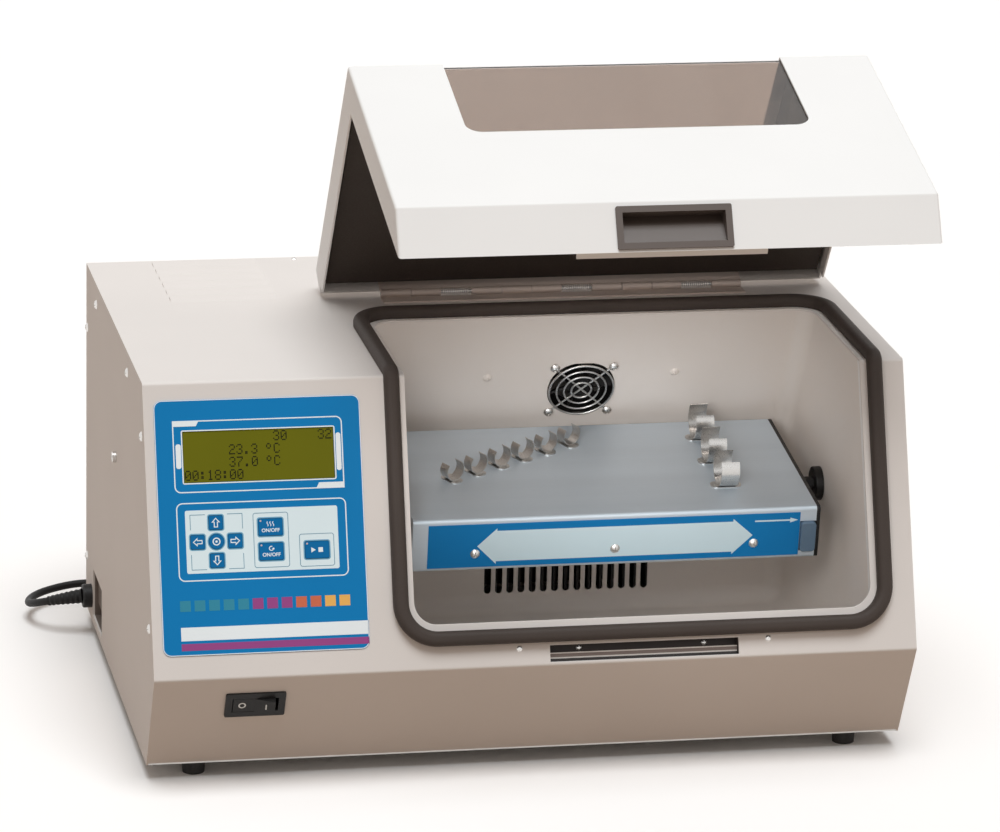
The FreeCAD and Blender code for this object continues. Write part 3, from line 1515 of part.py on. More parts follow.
def make_switch():
    bezel = Piece("switch_bezel", "chin")
    left, right = "(switch_x - switch_width/2)", "(switch_x + switch_width/2)"
    top, low = "(-switch_drop)", "(-switch_drop - switch_height)"
    bezel.add("XY_Plane", [rounded(left, low, right, top, "switch_rim")], "0", "switch_rim")
    half = "switch_frame/2"
    body = rectangle(f"({left} + {half})", f"({low} + {half})", f"({right} - {half})", f"({top} - {half})")
    bezel.add("XY_Plane", [body], "-switch_depth", "(switch_depth + switch_rim/2)")
    frame = "switch_frame"
    well = rectangle(
        f"({left} + {frame})", f"({low} + {frame})", f"({right} - {frame})", f"({top} - {frame})"
    )
    bezel.cut("XY_Plane", [well], "-(switch_depth - switch_rim)", "(switch_depth + switch_rim)")

    rocker = Piece("switch_rocker", "chin")
    pivot = "(-rocker_pivot_depth)"
    reach = "(switch_width/2 - switch_frame - rocker_end_gap)"
    thick = "rocker_half_thickness"
    tip = "rocker_tip_rise"

    def turned(across, up):
        """A rocker point, turned by the rest tilt"""
        x = f"(switch_x + ({across})*cos(rocker_tilt) - ({up})*sin(rocker_tilt))"
        z = f"({pivot} + ({across})*sin(rocker_tilt) + ({up})*cos(rocker_tilt))"
        return x, z

    profile = [
        turned(f"-{reach}", f"({thick} + {tip})"),
        turned("0", thick),
        turned(reach, f"({thick} + {tip})"),
        turned(reach, "0"),
        turned("0", f"(-{thick})"),
        turned(f"-{reach}", "0"),
    ]
    depth = "(switch_height - 2*switch_frame - 2*fit_clearance)"
    start = "(switch_drop + switch_frame + fit_clearance)"
    rocker.add("XZ_Plane", [polygon(profile)], start, depth)
    pin_reach = "(switch_frame/4 + fit_clearance)"
    pin = circle("switch_x", pivot, "rocker_pin_radius")
    rocker.add("XZ_Plane", [pin], f"({start} - {pin_reach})", f"({depth} + 2*{pin_reach})")
    socket = circle("switch_x", pivot, "(rocker_pin_radius + shaft_clearance)")
    socket_reach = "(switch_frame/4 + 2*fit_clearance)"
    bezel.cut("XZ_Plane", [socket], f"({start} - {socket_reach})", f"({depth} + 2*{socket_reach})")


# Mains inlet, cord grip and side jack


def make_left_fittings():
    inside = "(cabinet_width/2 - panel_gauge)"
    box = Piece("inlet_box")
    low, high = "inlet_low", "(inlet_low + inlet_height)"
    front, rear = "(inlet_y - inlet_length/2)", "(inlet_y + inlet_length/2)"
    wall = "inlet_wall"
    shell = rectangle(f"({front} - {wall})", f"({low} - {wall})", f"({rear} + {wall})", f"({high} + {wall})")
    box.add("YZ_Plane", [shell], f"-{inside}", "inlet_depth")
    box.cut("YZ_Plane", [rectangle(front, low, rear, high)], f"-{inside}", f"(inlet_depth - {wall})")
    block_low = "(inlet_low + inlet_height/2 - inlet_block_height/2)"
    block = rectangle("inlet_y", block_low, rear, f"({block_low} + inlet_block_height)")
    box.add("YZ_Plane", [block], f"-({inside} - 2*panel_gauge)", f"(inlet_depth - 2*panel_gauge - {wall}/2)")

    grip = Piece("cord_grip")
    outside = "(-cabinet_width/2)"
    nut = circle("grip_y", "grip_z", "grip_radius")
    grip.add("YZ_Plane", [nut], f"({outside} - grip_proud)", "grip_proud")
    neck = circle("grip_y", "grip_z", "(grip_radius - 2*panel_gauge)")
    grip.add("YZ_Plane", [neck], outside, "grip_barrel")
    entry = circle("grip_y", "grip_z", "(cord_radius + fit_clearance)")
    grip.cut("YZ_Plane", [entry], f"({outside} - grip_proud)", "panel_gauge")
    rim_x, rim_size = value(f"{outside} - grip_proud"), value("2*grip_radius")

    def on_rim(edge):
        return abs(edge.BoundBox.XMin - rim_x) < 1e-4 and abs(edge.BoundBox.ZLength - rim_size) < 1e-4

    grip.round_off("panel_gauge", on_rim)

    jack = Piece("side_jack")
    barrel = circle("jack_y", "jack_z", "jack_radius")
    jack.add("YZ_Plane", [barrel], f"({outside} - 2*panel_gauge)", "jack_length")
    flange = circle("jack_y", "jack_z", "jack_flange_radius")
    jack.add("YZ_Plane", [flange], f"({outside} + panel_gauge)", "panel_gauge")
    socket = circle("jack_y", "jack_z", "(jack_radius/2)")
    jack.cut("YZ_Plane", [socket], f"({outside} - 2*panel_gauge)", "(jack_length/2)")


# Chamber fan on the sloping part of the liner


def make_fan():
    middle_x, middle_y = value("fan_x"), value("fan_rise")
    frame = Piece("fan_frame", "slope")
    half = "fan_size/2"
    behind = "(liner_gauge + fan_depth)"
    outline = rounded(
        f"(fan_x - {half})",
        f"(fan_rise - {half})",
        f"(fan_x + {half})",
        f"(fan_rise + {half})",
        "(2*panel_gauge)",
    )
    frame.add("XY_Plane", [outline], f"-{behind}", "fan_depth")
    pitch = "fan_screw_pitch/2"
    holes = [
        circle(f"(fan_x {sx} {pitch})", f"(fan_rise {sy} {pitch})", SCREW_HOLE) for sx in "+-" for sy in "+-"
    ]
    duct = circle("fan_x", "fan_rise", "fan_bore")
    frame.cut("XY_Plane", [duct], f"-({behind} - panel_gauge)", "fan_depth")
    frame.cut("XY_Plane", holes, f"-{behind}", "fan_depth")
    ring = [circle("fan_x", "fan_rise", radius) for radius in ("(fan_bore - panel_gauge)", "fan_hub_radius")]
    frame.cut("XY_Plane", ring, f"-{behind}", "panel_gauge")
    bar = "(2*panel_gauge)"
    for across in (True, False):
        x, y = ("fan_bore", f"{bar}/2") if across else (f"{bar}/2", "fan_bore")
        arm = rectangle(f"(fan_x - {x})", f"(fan_rise - {y})", f"(fan_x + {x})", f"(fan_rise + {y})")
        frame.add("XY_Plane", [arm], f"-{behind}", "panel_gauge")
    post = circle("fan_x", "fan_rise", "fan_shaft_radius")
    frame.add("XY_Plane", [post], f"-{behind}", "(fan_depth - 2*panel_gauge - fit_clearance)")

    hub_low = value(f"-({behind} - 2*panel_gauge)")
    hub_high = value("-(liner_gauge + panel_gauge)")
    hub_radius = value("fan_hub_radius")
    hub = Part.makeCylinder(hub_radius, hub_high - hub_low, Vector(0, 0, hub_low))
    bore = value("fan_shaft_radius + shaft_clearance")
    tip = value("fan_bore - blade_clearance")
    thick = value("panel_gauge")
    chord = value("blade_chord")
    blade = Part.makeBox(tip - hub_radius / 2, thick, chord)
    blade.translate(Vector(hub_radius / 2, -thick / 2, -chord / 2))
    blade.rotate(Vector(0, 0, 0), Vector(1, 0, 0), value("blade_pitch"))
    blade.translate(Vector(0, 0, (hub_low + hub_high) / 2))
    rotor = hub
    for number in range(FAN_BLADES):
        turned = blade.copy()
        turned.rotate(Vector(0, 0, 0), Vector(0, 0, 1), number * 360 / FAN_BLADES)
        rotor = rotor.fuse(turned)
    rotor = rotor.common(Part.makeCylinder(tip, hub_high - hub_low, Vector(0, 0, hub_low)))
    rotor = rotor.cut(Part.makeCylinder(bore, hub_high - hub_low - thick, Vector(0, 0, hub_low)))
    rotor.translate(Vector(middle_x, middle_y, 0))
    formed("fan_rotor", rotor.removeSplitter(), "slope")

    wire = value("guard_wire_radius")
    place = Vector(middle_x, middle_y, 0)
    half_pitch = value("fan_screw_pitch/2")
    eye = value("screw_shank_radius + screw_hole_clearance") + wire
    guard = None
    for number in range(GUARD_RINGS):
        radius = value("guard_inner_ring") + number * value("guard_ring_step")
        ring = Part.makeTorus(radius, wire, place + Vector(0, 0, value("guard_ring_lift")))
        guard = ring if guard is None else guard.fuse(ring)
    for turn in (45, 135):
        length = half_pitch * math.sqrt(2) - eye
        rod = Part.makeCylinder(wire, 2 * length, Vector(0, 0, -length))
        rod.rotate(Vector(0, 0, 0), Vector(0, 1, 0), 90)
        rod.rotate(Vector(0, 0, 0), Vector(0, 0, 1), turn)
        rod.translate(place + Vector(0, 0, wire))
        guard = guard.fuse(rod)
    screws = []
    for sx in (-1, 1):
        for sy in (-1, 1):
            spot = place + Vector(sx * half_pitch, sy * half_pitch, 0)
            guard = guard.fuse(Part.makeTorus(eye, wire, spot + Vector(0, 0, wire)))
            screws.append(screw(spot + Vector(0, 0, 2 * wire), Vector(0, 0, 1)))
    formed("fan_guard", guard.removeSplitter(), "slope")
    grouped("fan_screws", screws, "slope")


# Platform: a bent aluminium tray that turns with the drive and slides along it

TRAY_LEFT = "(platform_x - platform_width/2)"
TRAY_RIGHT = "(platform_x + platform_width/2)"
TRAY_FRONT = "(-platform_depth/2)"
TRAY_LOW = "(platform_top - platform_height)"


def make_tray():
    tray = Piece("platform_tray", "platform")
    wall = "platform_wall"
    outer = rounded(TRAY_FRONT, TRAY_LOW, "(platform_depth/2)", "platform_top", "platform_edge_radius")
    tray.add("YZ_Plane", [outer], TRAY_LEFT, "platform_width")
    hollow = rectangle(
        f"({TRAY_FRONT} + {wall})",
        f"({TRAY_LOW} + {wall})",
        f"(platform_depth/2 - {wall})",
        f"(platform_top - {wall})",
    )
    tray.cut("YZ_Plane", [hollow], f"({TRAY_LEFT} + {wall})", f"(platform_width - {wall})")
    tray.cut("YZ_Plane", [circle("0", "0", "(shaft_radius + shaft_clearance)")], TRAY_LEFT, wall)
    gap = "fit_clearance"
    notch = rectangle(
        f"(lever_x - lever_width/2 - {gap})",
        f"(platform_top - lever_drop - lever_height - {gap})",
        TRAY_RIGHT,
        f"(platform_top - lever_drop + {gap})",
    )
    tray.cut("XZ_Plane", [notch], f"(platform_depth/2 - 2*{wall})", f"(3*{wall})")
    screw_rise = "(platform_top - label_screw_drop)"
    screw_places = [f"(label_screw_x + {number}*label_screw_pitch)" for number in (-1, 0, 1)]
    holes = [circle(x, screw_rise, SCREW_HOLE) for x in screw_places]
    tray.cut("XZ_Plane", holes, f"(platform_depth/2 - {wall})", wall)

    end = Piece("platform_end_plate", "platform")
    plate = rounded(TRAY_FRONT, TRAY_LOW, "(platform_depth/2)", "platform_top", "platform_edge_radius")
    end.add("YZ_Plane", [plate], TRAY_RIGHT, "end_plate_gauge")
    end.cut("YZ_Plane", [hexagon("hex_clearance")], TRAY_RIGHT, "end_plate_gauge")

    label = Piece("platform_label", "platform")
    left = f"({TRAY_LEFT} + label_left)"
    top = "(platform_top - label_drop)"
    film = rectangle(left, f"({top} - label_height + platform_edge_radius/2)", f"({left} + label_width)", top)
    label.add("XZ_Plane", [film], "platform_depth/2", "label_thickness")
    label.cut("XZ_Plane", holes, "platform_depth/2", "label_thickness")
    screws = []
    for x in screw_places:
        spot = Vector(value(x), value(f"{TRAY_FRONT} - label_thickness"), value(screw_rise))
        screws.append(screw(spot, Vector(0, -1, 0)))
    grouped("label_screws", screws, "platform")


def hexagon(grow):
    """The drive nose's section, grown by a clearance"""
    points = []
    for number in range(6):
        turn = f"({60 * number})"
        radius = f"((hex_flats/2 + {grow})/cos(30))"
        points.append((f"({radius}*cos{turn})", f"({radius}*sin{turn})"))
    return polygon(points)


def make_lever():
    lever = Piece("release_lever", "platform")
    left, right = "(lever_x - lever_width/2)", "(lever_x + lever_width/2)"
    low, high = "(platform_top - lever_drop - lever_height)", "(platform_top - lever_drop)"
    paddle = rounded(left, low, right, high, "(2*handle_wall)")
    start = "(platform_depth/2 + lever_proud - lever_body)"
    lever.add("XZ_Plane", [paddle], start, "lever_body")
    face = value(f"{TRAY_FRONT} - lever_proud")
    lever.round_off("handle_wall/2", lambda edge: max(abs(v.Y - face) for v in edge.Vertexes) < 1e-4)


def clip(tube_radius, width):
    """A spring clip: an open ring for a tube lying along x, on a thin base strip"""
    gauge, base_gauge = value("clip_gauge"), value("clip_base_gauge")
    base_length, base_width = width + 2 * value("clip_foot"), value("clip_base_width")
    middle = tube_radius + 2 * gauge
    outer = Part.makeCylinder(tube_radius + gauge, width, Vector(-width / 2, 0, middle), Vector(1, 0, 0))
    inner = Part.makeCylinder(tube_radius, width, Vector(-width / 2, 0, middle), Vector(1, 0, 0))
    ring = outer.cut(inner)
    half_gap = math.radians(value("clip_gap_angle"))
    far = 3 * tube_radius
    mouth = Part.makePolygon(
        [
            Vector(-width, 0, middle),
            Vector(-width, far * math.sin(half_gap), middle + far * math.cos(half_gap)),
            Vector(-width, -far * math.sin(half_gap), middle + far * math.cos(half_gap)),
            Vector(-width, 0, middle),
        ]
    )
    ring = ring.cut(Part.Face(mouth).extrude(Vector(2 * width, 0, 0)))
    strip = Part.makeBox(base_length, base_width, base_gauge, Vector(-base_length / 2, -base_width / 2, 0))
    corners = [edge for edge in strip.Edges if abs(edge.BoundBox.ZLength - base_gauge) < 1e-6]
    strip = strip.makeFillet(value("clip_base_corner"), corners)
    return ring.fuse(strip).removeSplitter()


def make_clips():
    top = value("platform_top")
    front = value(TRAY_FRONT)
    small = []
    for number in range(SMALL_CLIPS):
        x = value(f"small_clip_x + {number}*small_clip_step_x")
        y = front + value(f"small_clip_front + {number}*small_clip_step_y")
        shape = clip(value("small_tube_radius"), value("small_clip_width"))
        shape.Placement = Placement(Vector(x, y, top), Rotation(Vector(0, 0, 1), -value("small_clip_turn")))
        small.append(shape)
    grouped("small_clips", small, "platform")
    large = []
    for number in range(LARGE_CLIPS):
        shape = clip(value("large_tube_radius"), value("large_clip_width"))
        y = front + value(f"large_clip_front + {number}*large_clip_pitch")
        shape.Placement = Placement(Vector(value("large_clip_x"), y, top), Rotation())
        large.append(shape)
    grouped("large_clips", large, "platform")


# Drive: a flat gear motor behind the chamber's right wall, and a plain pivot on the left

HUB_FACE = f"({CHAMBER_RIGHT} - hub_length)"


def make_drive():
    shaft = Piece("drive_shaft", "platform")
    gap = "motor_gap"
    shaft.add("YZ_Plane", [circle("0", "0", "hub_radius")], HUB_FACE, f"(hub_length - {gap})")
    shaft.add("YZ_Plane", [hexagon("0")], f"({HUB_FACE} - hex_length)", "(hex_length + hub_length/2)")
    tail = circle("0", "0", "shaft_radius")
    tail_length = "(hub_length/2 + liner_gauge + motor_depth)"
    shaft.add("YZ_Plane", [tail], f"({CHAMBER_RIGHT} - hub_length/2)", tail_length)
    hub_face, hub_size = value(HUB_FACE), value("2*hub_radius")

    def on_rim(edge):
        return abs(edge.BoundBox.XMax - hub_face) < 1e-4 and abs(edge.BoundBox.ZLength - hub_size) < 1e-4

    shaft.round_off("hub_length/6", on_rim)

    motor = Piece("gear_motor")
    half = "motor_size/2"
    face = f"({CHAMBER_RIGHT} + liner_gauge)"
    case = rounded(
        f"(axis_y - {half})",
        f"(axis_z - {half})",
        f"(axis_y + {half})",
        f"(axis_z + {half})",
        "(motor_size/8)",
    )
    motor.add("YZ_Plane", [case], face, "motor_depth")
    bore = circle("axis_y", "axis_z", "(shaft_radius + shaft_clearance)")
    motor.cut("YZ_Plane", [bore], face, "motor_depth")

    stub = Piece("pivot_stub")
    left = CHAMBER_LEFT
    stub.add("YZ_Plane", [circle("axis_y", "axis_z", "hub_radius")], left, "stub_flange")
    axle = circle("axis_y", "axis_z", "shaft_radius")
    stub.add("YZ_Plane", [axle], f"({left} - 4*liner_gauge)", "(stub_length + 4*liner_gauge)")


# Units inside the left compartment and behind the chamber


def make_inner_units():
    supply = Piece("power_supply")
    case = rectangle(
        "(supply_x - supply_width/2)",
        "(supply_y - supply_length/2)",
        "(supply_x + supply_width/2)",
        "(supply_y + supply_length/2)",
    )
    supply.add("XY_Plane", [case], "panel_gauge", "supply_height")

    board = Piece("control_board")
    wall_face = f"({CHAMBER_LEFT} - liner_gauge)"
    plate = rectangle(
        "(main_board_y - main_board_length/2)",
        "(main_board_z - main_board_width/2)",
        "(main_board_y + main_board_length/2)",
        "(main_board_z + main_board_width/2)",
    )
    stand_off = "(4*board_thickness)"
    board.add("YZ_Plane", [plate], f"({wall_face} - {stand_off} - board_thickness)", "board_thickness")
    post_y = "(main_board_y - main_board_length/2 + 6*board_thickness)"
    post_radius = "(2*board_thickness)"
    posts = [circle(post_y, f"(main_board_z {side} main_board_width/3)", post_radius) for side in "+-"]
    post_length = f"({stand_off} + board_thickness/2)"
    board.add("YZ_Plane", posts, f"({wall_face} - {post_length})", post_length)

    heater = Piece("heater_core")
    back = "(chamber_back + liner_gauge)"
    low = "slot_low"
    left, right = "(slot_x - heater_width/2)", "(slot_x + heater_width/2)"
    base = rectangle(left, f"({back} + heater_depth)", right, f"({back} + heater_depth + heater_base)")
    heater.add("XY_Plane", [base], low, "slot_length")
    fins = []
    count = int(value("heater_width/heater_fin_pitch"))
    for number in range(count):
        x = f"({left} + ({number} + 0.5)*heater_fin_pitch)"
        root = f"({back} + heater_depth + heater_base/2)"
        fins.append(rectangle(f"({x} - heater_fin/2)", back, f"({x} + heater_fin/2)", root))
    heater.add("XY_Plane", fins, low, "slot_length")


# Mains cord: a free lead from the grip, the rest put away in a flat coil, and a plug

CORD_ROUTE = [
    (-328, 325, 18),
    (-341, 333, 13.5),
    (-350.5, 346.5, 7.5),
    (-354.5, 363, 2),
    (-351.5, 381, 0),
    (-341, 396, 0),
    (-325, 405.5, 1),
    (-306, 410, 2.5),
    (-287, 409.5, 2),
    (-269, 408, -1),
    (-251, 407, -5),
    (-233, 407, -8.5),
    (-215, 408, -10.4),
]
TAIL_SWAY = (3.0, 1.3, 0.3, 0.0)
BEND_SHARE = 0.45


def make_cord():
    radius = value("cord_radius")
    pitch = value("coil_pitch")
    floor = radius + value("coil_floor_gap - foot_height")
    inner, dip = value("coil_inner_radius"), value("coil_climb_dip")
    centre = Vector(value("coil_x"), value("coil_y"), floor)
    climb_end = COIL_TURNS + 0.5
    turns = climb_end + COIL_TURNS

    def coil(p):
        """The coil's middle line: in on the floor, up half a turn, and out on the second layer"""
        if p < COIL_TURNS:
            reach, rise = inner + pitch * (COIL_TURNS - p), 0
        elif p < climb_end:
            share = (p - COIL_TURNS) / 0.5
            reach = inner - dip * math.sin(math.pi * share) ** 2
            rise = pitch * (1 - math.cos(math.pi * share)) / 2
        else:
            reach, rise = inner + pitch * (p - climb_end), pitch
        angle = 2 * math.pi * p - math.pi / 2
        return centre + Vector(reach * math.cos(angle), reach * math.sin(angle), rise)

    edges, ways = wound_edges(coil, [n / 4 for n in range(int(4 * turns) + 1)])
    straight = value("coil_lead_in")
    start, end = coil(0) - ways[0] * straight, coil(turns) + ways[-1] * straight
    edges.insert(0, Part.LineSegment(start, coil(0)).toShape())
    edges.append(Part.LineSegment(coil(turns), end).toShape())
    profile = Part.Wire(Part.Circle(start, ways[0], radius).toShape())
    coil_shape = pipe(edges, profile)
    gap = least_gap(coil, 0, turns, 2 * radius)
    coil_length = sum(edge.Length for edge in edges)
    print(f"cord coil: {coil_length:.0f} mm, least gap {gap:.2f} mm")
    formed("cord_coil", coil_shape)

    exit_point = Vector(value("-cabinet_width/2 - grip_proud"), value("grip_y"), value("grip_z"))
    step = value("cord_tail_step")
    tail = []
    for number, sway in enumerate(TAIL_SWAY):
        tail.append(start - ways[0] * (step * (len(TAIL_SWAY) - number)) + Vector(0, sway, 0))
    points = [exit_point] + [Vector(*point) for point in CORD_ROUTE] + tail + [start]
    radii = [0]
    for index in range(1, len(points) - 1):
        before, after = points[index] - points[index - 1], points[index + 1] - points[index]
        half_turn = before.getAngle(after) / 2
        radii.append(BEND_SHARE * min(before.Length, after.Length) / math.tan(half_turn))
    radii.append(0)
    edges = route_edges(points, radii)
    length = sum(edge.Length for edge in edges)
    profile = Part.Wire(Part.Circle(exit_point, points[1] - points[0], radius).toShape())
    lead = pipe(edges, profile)
    print("cord radii", [round(r) for r in radii[1:-1]])
    print(f"cord lead: {length:.0f} mm, volume share {lead.Volume / (math.pi * radius**2 * length):.4f}")
    formed("cord_lead", lead)

    make_plug(end, ways[-1])


def make_plug(end, way):
    """The plug's body with its blades, and a tapered relief round the cord"""
    relief, root = value("plug_relief_length"), value("plug_root")
    length, width = value("plug_length"), value("plug_width")
    height = 2 * (end.z + value("foot_height"))
    body = Part.makeBox(length, width, height, Vector(relief, -width / 2, -height / 2))
    rims = [edge for edge in body.Edges if edge.BoundBox.XLength > length - 1e-6]
    body = body.makeFillet(value("plug_corner"), rims)
    body = body.fuse(
        Part.makeCone(
            value("cord_radius"), value("plug_relief_radius"), relief + root, Vector(0, 0, 0), Vector(1, 0, 0)
        )
    )
    face = relief + length - root
    blade_length, blade_width = value("plug_blade_length"), value("plug_blade_width")
    gauge, spread = value("plug_blade_gauge"), value("plug_blade_spread")
    for across in (-spread / 2, spread / 2):
        corner_point = Vector(face, across - gauge / 2, -blade_width / 2)
        body = body.fuse(Part.makeBox(blade_length, gauge, blade_width, corner_point))
    earth_radius, earth_length = value("plug_earth_radius"), value("plug_earth_length")
    earth_place = Vector(face, 0, -value("plug_earth_drop"))
    body = body.fuse(Part.makeCylinder(earth_radius, earth_length, earth_place, Vector(1, 0, 0)))
    body = body.removeSplitter()
    body.Placement = Placement(end, Rotation(Vector(1, 0, 0), way))
    grouped("mains_plug", [body])


def make_all():
    make_wrap()
    make_left_panel()
    make_side_panel("right_panel", INNER_HALF)
    make_rear_panel()
    make_base()
    make_feet()
    make_panel_screws()
    make_liner()
    make_insulation()
    make_gasket()
    make_hinge()
    make_hinge_springs()
    make_lid_shell()
    make_lid_lining()
    make_lid_window()
    make_lid_handle()
    make_strike()
    make_catch()
    make_controls()
    make_switch()
    make_left_fittings()
    make_fan()
    make_tray()
    make_lever()
    make_clips()
    make_drive()
    make_inner_units()
    make_cord()


def write_all():
    """Check every object, then write one file for each sub-part"""
    doc.recompute()
    for item in doc.Objects:
        if "Invalid" in item.State or "Error" in item.State:
            raise RuntimeError(f"{item.Label} failed: {item.State}")
    for item in SUBPARTS:
        if item.Shape.isNull() or not item.Shape.isValid():
            raise RuntimeError(f"{item.Label} has no valid shape")
    os.makedirs("parts", exist_ok=True)
    for item in SUBPARTS:
        item.Shape.exportStep(f"parts/{item.Label}.step")
    print(f"{len(SUBPARTS)} sub-parts written")


make_all()
write_all()
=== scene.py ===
# %% [markdown]
# A benchtop incubator, dressed in Blender
#
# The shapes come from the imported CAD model: sheet metal, lid, hinge, platform and keys are all there,
# at their real size. This lesson adds what CAD leaves plain: finishes, printed film, a display, key signs,
# a mains cord, light and a camera. The frame is loaded first, because every piece is placed against it.

# %% The frame
import json
import math

import bpy
from mathutils import Matrix, Vector


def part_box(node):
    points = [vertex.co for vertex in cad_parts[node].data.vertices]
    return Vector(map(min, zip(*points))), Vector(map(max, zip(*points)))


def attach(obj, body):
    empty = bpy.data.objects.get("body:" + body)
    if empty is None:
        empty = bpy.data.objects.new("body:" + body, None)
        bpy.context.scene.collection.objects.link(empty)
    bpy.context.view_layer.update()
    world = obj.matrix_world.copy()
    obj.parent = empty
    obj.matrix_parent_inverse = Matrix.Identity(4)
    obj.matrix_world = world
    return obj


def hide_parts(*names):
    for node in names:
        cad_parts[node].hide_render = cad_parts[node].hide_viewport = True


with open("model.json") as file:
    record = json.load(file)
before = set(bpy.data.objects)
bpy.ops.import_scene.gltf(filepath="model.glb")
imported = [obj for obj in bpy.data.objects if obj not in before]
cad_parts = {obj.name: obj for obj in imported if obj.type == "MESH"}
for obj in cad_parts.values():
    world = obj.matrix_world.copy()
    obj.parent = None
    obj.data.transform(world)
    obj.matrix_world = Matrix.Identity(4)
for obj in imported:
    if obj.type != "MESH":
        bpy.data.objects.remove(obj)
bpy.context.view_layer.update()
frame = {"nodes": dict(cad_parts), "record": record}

nodes = frame["nodes"]

# %% [markdown]
# The camera
#
# A photograph's camera has a standpoint, three turns and a focal length. They could be set by eye, but
# straight edges of a cabinet give them exactly, so they are written here as measured values. The focal
# length is in pixels of the picture, and the lens in millimetres follows from the sensor's width.

# %% Camera
PICTURE_WIDTH = 1000
FOCAL_PIXELS = 5354
YAW, PITCH, ROLL = (math.radians(angle) for angle in (11.449, -16.683, 1.373))
STANDPOINT = Vector((-0.81968, -4.07339, 1.4895))

camera_data = bpy.data.cameras.new("camera")
camera_data.sensor_fit = "HORIZONTAL"
camera_data.lens = FOCAL_PIXELS / PICTURE_WIDTH * camera_data.sensor_width
camera = bpy.data.objects.new("camera", camera_data)
bpy.context.collection.objects.link(camera)
ahead = Vector((math.sin(YAW) * math.cos(PITCH), math.cos(YAW) * math.cos(PITCH), math.sin(PITCH)))
level_right = Vector((math.cos(YAW), -math.sin(YAW), 0))
level_up = level_right.cross(ahead)
right = level_right * math.cos(ROLL) + level_up * math.sin(ROLL)
up = level_up * math.cos(ROLL) - level_right * math.sin(ROLL)
camera.matrix_world = Matrix.Translation(STANDPOINT) @ Matrix((right, up, -ahead)).transposed().to_4x4()
bpy.context.scene.camera = camera
print("lens", round(camera_data.lens, 1), "mm")

# %% [markdown]
# Places on the cabinet
#
# The cabinet is measured in millimetres from its front top edge and its underside. A panel of it, such as
# the sloping front, is a flat sheet, so a matrix for each one turns flat drawings (across, up, out) into
# places in the room. That is simpler than working out each slanted point by hand.

# %% Panels
MM = 0.001
CENTRE_X = 2.92
FRONT_EDGE_Y = -116.49
FOOT_HEIGHT = 14.0
CABINET_HEIGHT = 301.8
BEND_HEIGHT = 84.6
FRONT_LEAN = 20.15
CHIN_LEAN = 27.3
PLATFORM_TILT = 7.4
AXIS_Y, AXIS_Z = 104.0, 167.0
FRONT_RUN = (CABINET_HEIGHT - BEND_HEIGHT) * math.tan(math.radians(FRONT_LEAN))


def panel(y, z, turn):
    """Matrix from a panel's millimetres (across, up it, out of it) to the room's metres"""
    origin = Vector((CENTRE_X, FRONT_EDGE_Y + y, FOOT_HEIGHT + z)) * MM
    return Matrix.Translation(origin) @ Matrix.Rotation(math.radians(turn), 4, "X") @ Matrix.Scale(MM, 4)


def in_room(x, y, z):
    """A cabinet point in the room's metres"""
    return Vector((x + CENTRE_X, y + FRONT_EDGE_Y, z + FOOT_HEIGHT)) * MM


CABINET = panel(0, 0, 0)
FRONT = panel(0, CABINET_HEIGHT, 90 - FRONT_LEAN)
CHIN = panel(-FRONT_RUN, BEND_HEIGHT, 90 + CHIN_LEAN)
PLATFORM = panel(AXIS_Y, AXIS_Z, PLATFORM_TILT)
print("front panel stands at", [round(c, 4) for c in FRONT.translation])

# %% [markdown]
# The mains cord
#
# A cord is soft, so it is one smooth NURBS curve with a round bevel. Its control points are the listed
# route from the grip, then points on a circle for the turns of the coil that lies behind the cabinet: three
# turns inwards on the floor, half a turn of climb and three turns outwards on top. A loop makes those turns.

# %% Cord
CORD_RADIUS = 3.25
FLOOR_GAP = 0.05
COIL_PITCH = 7.1
COIL_TURNS = 3
CLIMB_TURNS = 0.5
CLIMB_DIP = 1.8
COIL_INNER = 25.1
COIL_CENTRE = Vector((-110.0, 462.0, CORD_RADIUS + FLOOR_GAP - FOOT_HEIGHT))
COIL_LEAD_IN = 6.5
TAIL_STEP = 18.0
TAIL_SWAY = (3.0, 1.3, 0.3, 0.0)
POINTS_PER_TURN = 20
NUDGE = 0.001
GRIP_MOUTH = Vector((-313.0, 322.5, 20.5))
CORD_ROUTE = [
    (-328, 325, 18),
    (-341, 333, 13.5),
    (-350.5, 346.5, 7.5),
    (-354.5, 363, 2),
    (-351.5, 381, 0),
    (-341, 396, 0),
    (-325, 405.5, 1),
    (-306, 410, 2.5),
    (-287, 409.5, 2),
    (-269, 408, -1),
    (-251, 407, -5),
    (-233, 407, -8.5),
    (-215, 408, -10.4),
]


def coil_point(turn):
    """A point of the coil's middle line after some turns"""
    climb_end = COIL_TURNS + CLIMB_TURNS
    if turn < COIL_TURNS:
        reach, rise = COIL_INNER + COIL_PITCH * (COIL_TURNS - turn), 0
    elif turn < climb_end:
        share = (turn - COIL_TURNS) / CLIMB_TURNS
        reach = COIL_INNER - CLIMB_DIP * math.sin(math.pi * share) ** 2
        rise = COIL_PITCH * (1 - math.cos(math.pi * share)) / 2
    else:
        reach, rise = COIL_INNER + COIL_PITCH * (turn - climb_end), COIL_PITCH
    angle = 2 * math.pi * turn - math.pi / 2
    return COIL_CENTRE + Vector((reach * math.cos(angle), reach * math.sin(angle), rise))


